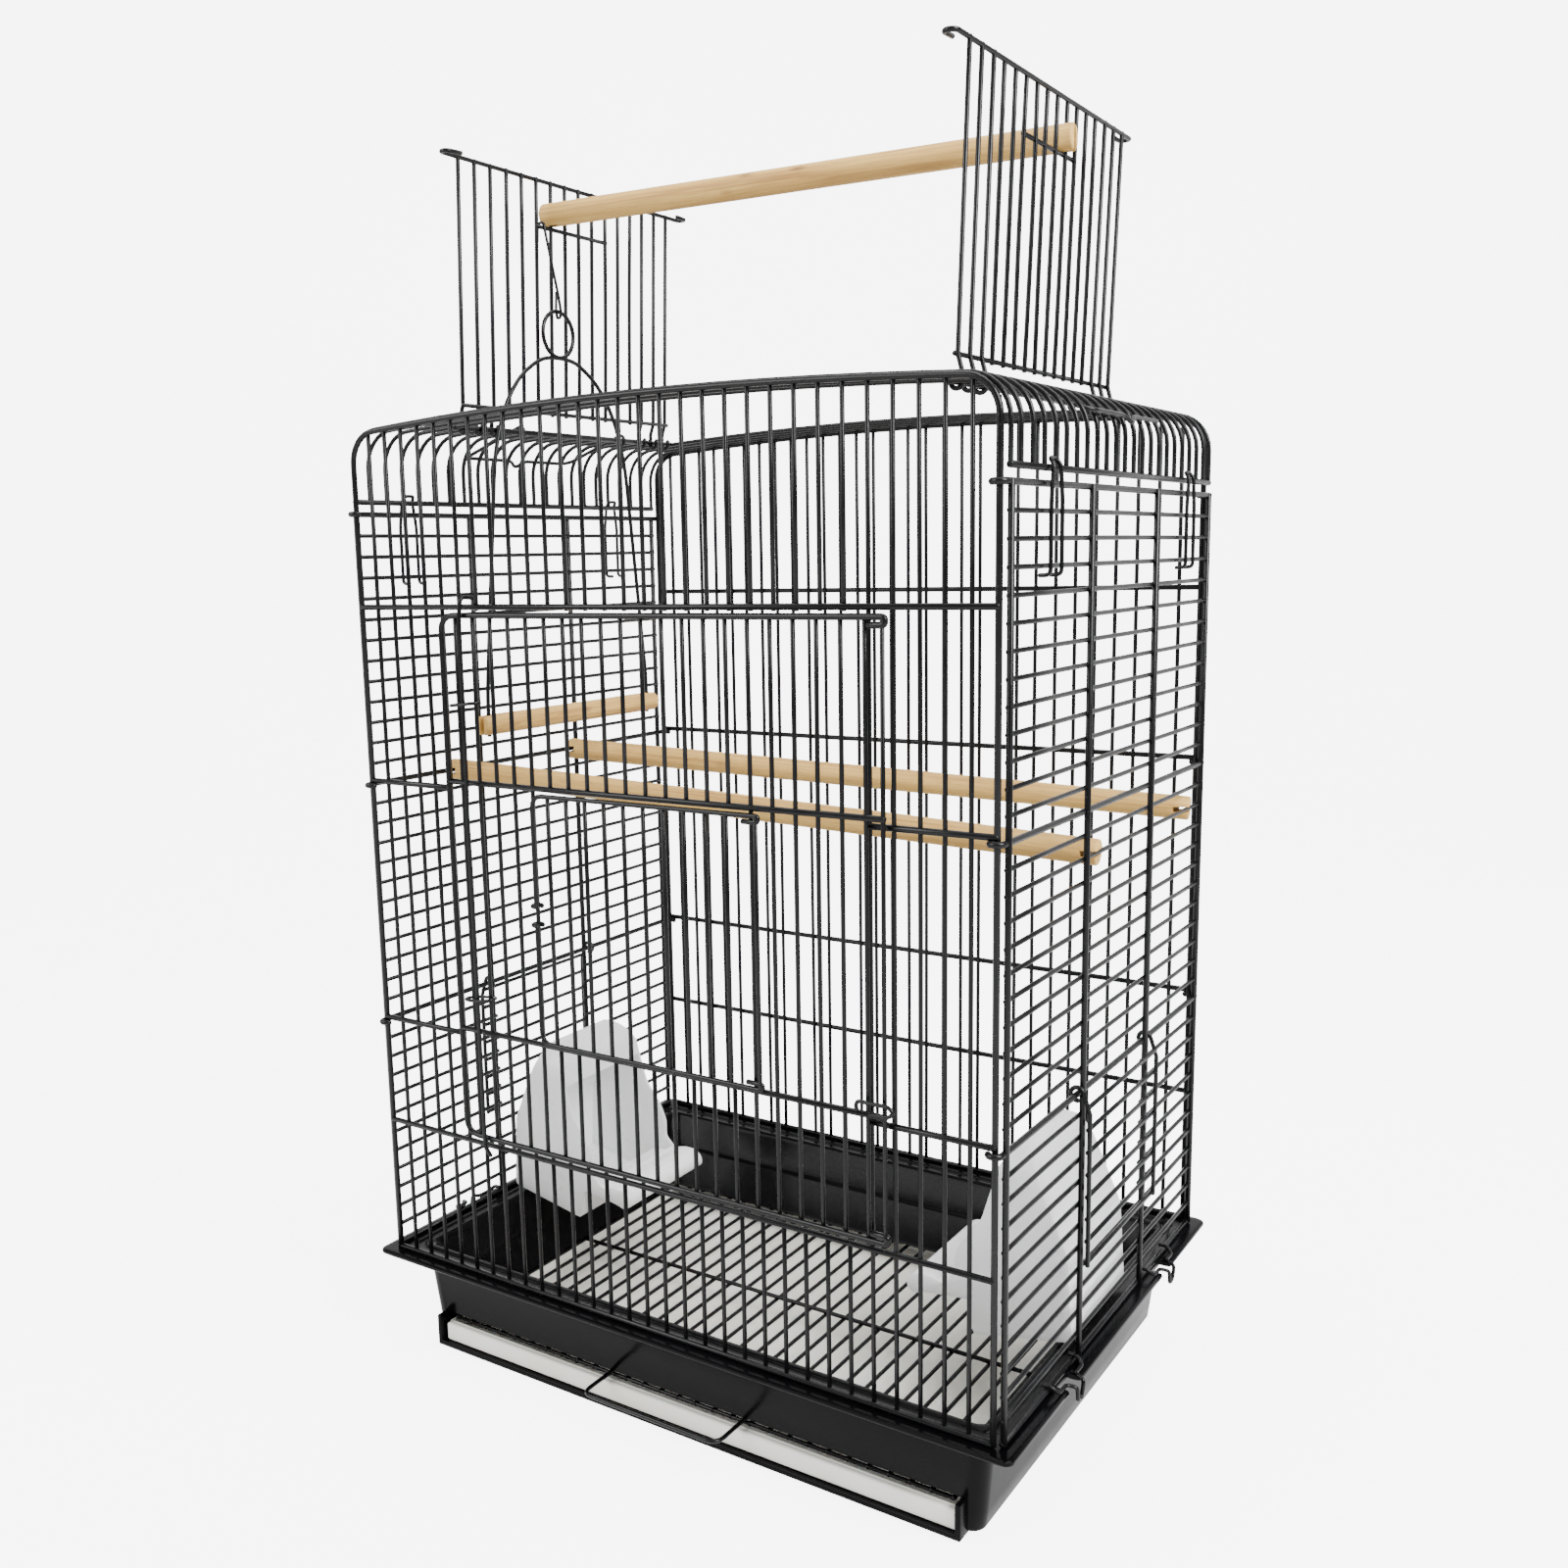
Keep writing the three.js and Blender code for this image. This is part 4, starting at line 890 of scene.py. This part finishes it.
def base_frame():
    """The base, as rings from its underside up the outside, over the flange and down the funnel."""
    # half x, half y, height, corner radius
    profile = [(203, 140.5, 2.0, 7), (206.8, 143.8, 2.3, 8), (209, 145.8, 3.4, 9), (210, 146.6, 5.4, 10),
               (211.3, 147.5, 16, 10), (216.2, 150.8, 60, 11), (217, 151.6, 64, 12), (219, 153.6, 66.6, 13),
               (222, 156.6, 67.7, 13), (235, 169.2, 68.0, 9), (237.6, 171.6, 68.3, 7),
               (238.8, 172.7, 69.2, 6), (239, 173, 70.2, 6), (238.8, 172.8, 71.2, 6),
               (237.8, 171.8, 71.9, 6), (236.6, 170.6, 72.0, 6),
               (222.4, 157.0, 72.0, 7), (221.6, 156.2, 71.6, 7), (221.2, 155.8, 70.8, 7),
               (218.4, 152.4, 70.8, 8), (217.9, 151.8, 71.6, 8), (217.1, 150.9, 72.0, 8),
               (215.2, 148.6, 72.0, 8), (213.8, 147.0, 71.6, 8), (213.0, 146.0, 70.6, 8),
               (212.0, 144.6, 68.2, 8), (204.5, 133.5, 50.5, 8), (203.8, 132.6, 49.8, 8),
               (202.8, 131.2, 49.2, 8), (202.0, 130.2, 48.0, 8), (191.5, 114.3, 26.5, 8),
               (190.2, 112.4, 25.0, 8), (189.6, 111.6, 23.6, 8), (189.5, 111.5, 5.5, 8)]
    rings = [rounded_ring(half_x, half_y, z, r) for half_x, half_y, z, r in profile]
    base = lofted("base_shell", rings, BASE_PLASTIC, "cage", ("base_frame",))
    subtract(base, block((-SLOT_HALF, -200, SLOT_LOW), (SLOT_HALF, 140.5, SLOT_HIGH)))
    for x in (-239, 239):
        for y in (FRONT_CLIP_Y, REAR_CLIP_Y):
            subtract(base, block((x - 8, y - 9, 66), (x + 8, y + 9, 73)))
    bevel(base, 0.7, 3, 50)
    finish_mesh(base, 38)


def tray_slot_frame():
    """Thin frame round the slot that the tray slides in."""
    frame = block((-202, -156, 2), (202, -140, SLOT_HIGH))
    subtract(frame, block((-SLOT_HALF, -200, SLOT_LOW), (SLOT_HALF, -100, 30)))
    moulded(frame, "tray_slot_frame", BASE_PLASTIC, "cage", 0.8)


def feet():
    """Nine pads under the base."""
    for column, x in (("left", -170), ("middle", 0), ("right", 170)):
        for row, y in (("front", -132), ("centre", 0), ("rear", 132)):
            foot = block((x - 20, y - 11, 0), (x + 20, y + 11, 4))
            moulded(foot, f"foot_{column}_{row}", BASE_PLASTIC, "cage", 2.2, 4, 30)


def slide_tray():
    low, high, wall = 6.0, 18.2, 2
    tray = block((-197, -149, low), (197, 139, high))
    subtract(tray, block((-197 + wall, -149 + wall, low + wall), (197 - wall, 139 - wall, high + 5)))
    moulded(tray, "slide_tray_pan", TRAY_PLASTIC, "slide_tray", 0.7)
    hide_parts("slide_tray")
    fascia = block((-196, -153, 5.8), (198, -148.6, 18.5))
    moulded(fascia, "slide_tray_fascia", TRAY_PLASTIC, "slide_tray", 1.6, 4)


def floor_grate():
    w = Wires()
    z, edge, front, back = 19.9, 193.0, -146.0, 136.0
    for i in range(29):
        x = -edge + 2 * edge * i / 28
        w.rod((x, front, z), (x, back, z), THIN_R, bow=0.3)
    for y in (front + 1.3, back - 1.3):
        w.rod((-edge - 1, y, z), (edge + 1, y, z), 1.3)
    w.rod((-edge, -4.4, z + 1.9), (edge, -4.4, z + 1.9), 1.5)
    wire_piece("floor_grate_wires", w, "floor_grate", "floor_grate")


def grate_pull_handle():
    w = Wires()
    half, back, front, z = 52, -137, -177, 22.5
    w.add([(-half, back, z), (-half, front, z), (half, front, z), (half, back, z)], HOOK_R + 0.1, 12, bend=8)
    wire_piece("grate_pull_handle_wire", w, "floor_grate", "grate_pull_handle")


# (x, height above the rim) round the hooded cup, and round the seed space inside it
CUP_OUTER = [(223.5, 2), (220, 56), (193, 117.5), (186.5, 119), (174, 103), (171, 90), (164, 67), (151, 50),
             (146, 38), (146, 25), (138, 17.5), (128, 20), (118, 19.5), (113, 15), (112.5, 9), (117, 5.5),
             (127, 8.5), (155, 11.5), (159, -10.5)]
CUP_INNER = [(221.3, 4), (218, 55.5), (191.5, 115), (187.3, 116), (176, 102), (173.2, 89), (100, 89),
             (100, 26.5), (138, 26.5), (140.5, 14), (156.8, 14.1), (160.6, -8)]


def smooth_outline(points, radius):
    """Closed outline with its corners rounded a little."""
    closed = [points[-1], *points, points[0]]
    out = []
    for a, c, b in zip(closed, closed[1:], closed[2:]):
        a, c, b = Vector(a), Vector(c), Vector(b)
        reach = min(radius, 0.45 * (a - c).length, 0.45 * (b - c).length)
        start, end = c + (a - c).normalized() * reach, c + (b - c).normalized() * reach
        for t in (0, 0.25, 0.5, 0.75, 1):
            out.append(start.lerp(c, t).lerp(c.lerp(end, t), t))
    return out


def extruded(name, near, far):
    """A solid between two copies of one outline."""
    n = len(near)
    faces = [tuple(range(n)), tuple(reversed(range(n, 2 * n)))]
    faces += [(k, n + k, n + (k + 1) % n, (k + 1) % n) for k in range(n)]
    mesh = bpy.data.meshes.new(name)
    mesh.from_pydata([p * MM for p in [*near, *far]], [], faces)
    obj = linked(name, mesh)
    finish_mesh(obj, 30)
    return obj


def prism(name, outline, half, side):
    """An outline in x and z, drawn out along y on one side of the cage."""
    return extruded(name, *([Vector((side * p[0], y, RIM + p[1])) for p in outline] for y in (-half, half)))


def round_shoulders(obj, half, top, radius):
    """Cuts the two upper corners, seen along x, to a round shoulder."""
    past_cups = 235
    centre = half - radius
    edge = [(half + 3, top - radius)]
    edge += [(centre + radius * math.cos(a), top - radius + radius * math.sin(a))
             for a in (math.pi / 2 * k / 12 for k in range(13))]
    edge += [(centre, top + 12), (half + 3, top + 12)]
    for end in (-1, 1):
        near, far = ([Vector((x, end * y, RIM + z)) for y, z in edge] for x in (-past_cups, past_cups))
        subtract(obj, extruded("shoulder", near, far))


def feeder_cup(name, side):
    half, top, shoulder, wall = 46, 119.5, 26, 2
    cup = prism("cup", smooth_outline(CUP_OUTER, 3.0), half, side)
    hollow = prism("hollow", smooth_outline(CUP_INNER, 0.6), half - wall, side)
    round_shoulders(cup, half, top, shoulder)
    round_shoulders(hollow, half - wall, top - wall, shoulder - wall)
    subtract(cup, hollow)
    moulded(cup, f"{name}_feeder_cup_shell", CUP_PLASTIC, "cage", 0.6, sharp=32)
    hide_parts(f"{name}_feeder_cup")


# ---- the whole cage ----
front_panel()
back_panel()
roof_panel()
front_door()
hinge_rod()
small_door()
door_catch()
for side_name, sign in (("right", 1), ("left", -1)):
    side_panel(side_name, sign)
    roof_flap(side_name, sign)
    carry_handle(side_name, sign)
    feeder_door(side_name, sign)
    feeder_cup(side_name, sign)
    for end_name, clip_y, base_y in (("front", -FLAP_EDGE, FRONT_CLIP_Y), ("rear", FLAP_EDGE, REAR_CLIP_Y)):
        roof_clip(f"{side_name}_{end_name}_roof_clip", sign, clip_y)
        base_clip(f"{side_name}_{end_name}_base_clip", sign, base_y)
swing_frame()
swing_hanger()
long_perch("front_perch", -84, 24, -32, 22, 1)
long_perch("rear_perch", 46, 24, 138, 22, 2)
play_top_perch()
swing_perch()
base_frame()
tray_slot_frame()
feet()
slide_tray()
floor_grate()
grate_pull_handle()


# ---- floor, light and camera ----
BACKDROP_GLOW = 6.0     # how bright the floor and the world look behind the cage


def studio():
    """A pale floor that curves up into a back wall, square to the camera."""
    mesh = bpy.data.meshes.new("floor")
    front, depth, rise, width, bend, segments = -3.0, 2.6, 3.4, 6.0, 1.2, 16
    line = [(front, 0.0)]
    for i in range(segments + 1):
        a = math.pi / 2 * i / segments
        line.append((depth - bend + bend * math.sin(a), bend - bend * math.cos(a)))
    line.append((depth, rise))
    verts = [(x, y, z) for x in (-width, width) for y, z in line]
    n = len(line)
    faces = [(k, n + k, n + k + 1, k + 1) for k in range(n - 1)]
    turn = Matrix.Rotation(math.radians(34), 3, "Z")
    mesh.from_pydata([turn @ Vector(v) for v in verts], [], faces)
    floor = linked("studio_floor", mesh)
    floor.data.shade_smooth()
    s = Shader("pale_floor")
    s.set(Roughness=0.6, Specular_IOR_Level=0.2, Emission_Color=(1, 1, 1, 1))
    seen = s.nodes.new("ShaderNodeLightPath").outputs["Is Camera Ray"]
    s.feed(Emission_Strength=s.range(seen, 0.7, BACKDROP_GLOW))
    s.feed(Base_Color=s.ramp(s.noise(s.coords, 2.0, 2), (0.3, (0.5, 0.5, 0.5)), (0.7, (0.54, 0.54, 0.54))))
    floor.data.materials.append(s.material)


def area_light(name, location, target, size, power):
    data = bpy.data.lights.new(name, "AREA")
    data.shape = "RECTANGLE"
    data.size, data.size_y = size
    data.energy = power
    light = linked(name, data)
    light.location = location
    light.rotation_euler = (Vector(target) - Vector(location)).to_track_quat("-Z", "Y").to_euler()


def camera():
    """The photo's view, fitted to the cage's straight edges."""
    place = (0.5251, -0.8439, 0.5472)
    azimuth, elevation, roll = math.radians(34.42), math.radians(9.31), math.radians(-1.33)
    look = Vector((-math.sin(azimuth) * math.cos(elevation), math.cos(azimuth) * math.cos(elevation),
                   -math.sin(elevation)))
    right = Vector((math.cos(azimuth), math.sin(azimuth), 0))
    up = right.cross(look)
    right, up = right * math.cos(roll) + up * math.sin(roll), up * math.cos(roll) - right * math.sin(roll)
    data = bpy.data.cameras.new("camera")
    data.sensor_width = 36
    data.lens = 34.08
    data.shift_x, data.shift_y = 0.0386, 0.0114
    data.clip_end = 50
    obj = linked("camera", data)
    turn = Matrix((right, up, -look)).transposed().to_4x4()
    obj.matrix_world = Matrix.Translation(place) @ turn
    bpy.context.scene.camera = obj


def world():
    scene_world = bpy.data.worlds.new("studio")
    scene_world.use_nodes = True
    nodes, links = scene_world.node_tree.nodes, scene_world.node_tree.links
    background = nodes["Background"]
    background.inputs["Color"].default_value = (1, 1, 1, 1)
    path = nodes.new("ShaderNodeLightPath")
    strength = nodes.new("ShaderNodeMapRange")
    strength.inputs["To Min"].default_value = 0.55
    strength.inputs["To Max"].default_value = BACKDROP_GLOW
    links.new(path.outputs["Is Camera Ray"], strength.inputs["Value"])
    links.new(strength.outputs["Result"], background.inputs["Strength"])
    bpy.context.scene.world = scene_world


studio()
world()
camera()
area_light("key", (1.9, -0.4, 1.8), (0, 0, 0.35), (1.2, 1.2), 140)
area_light("fill", (-1.4, -1.8, 1.6), (0, 0, 0.3), (1.6, 1.6), 70)
area_light("top", (0.1, 0.3, 2.4), (0, 0, 0.2), (1.8, 1.8), 50)
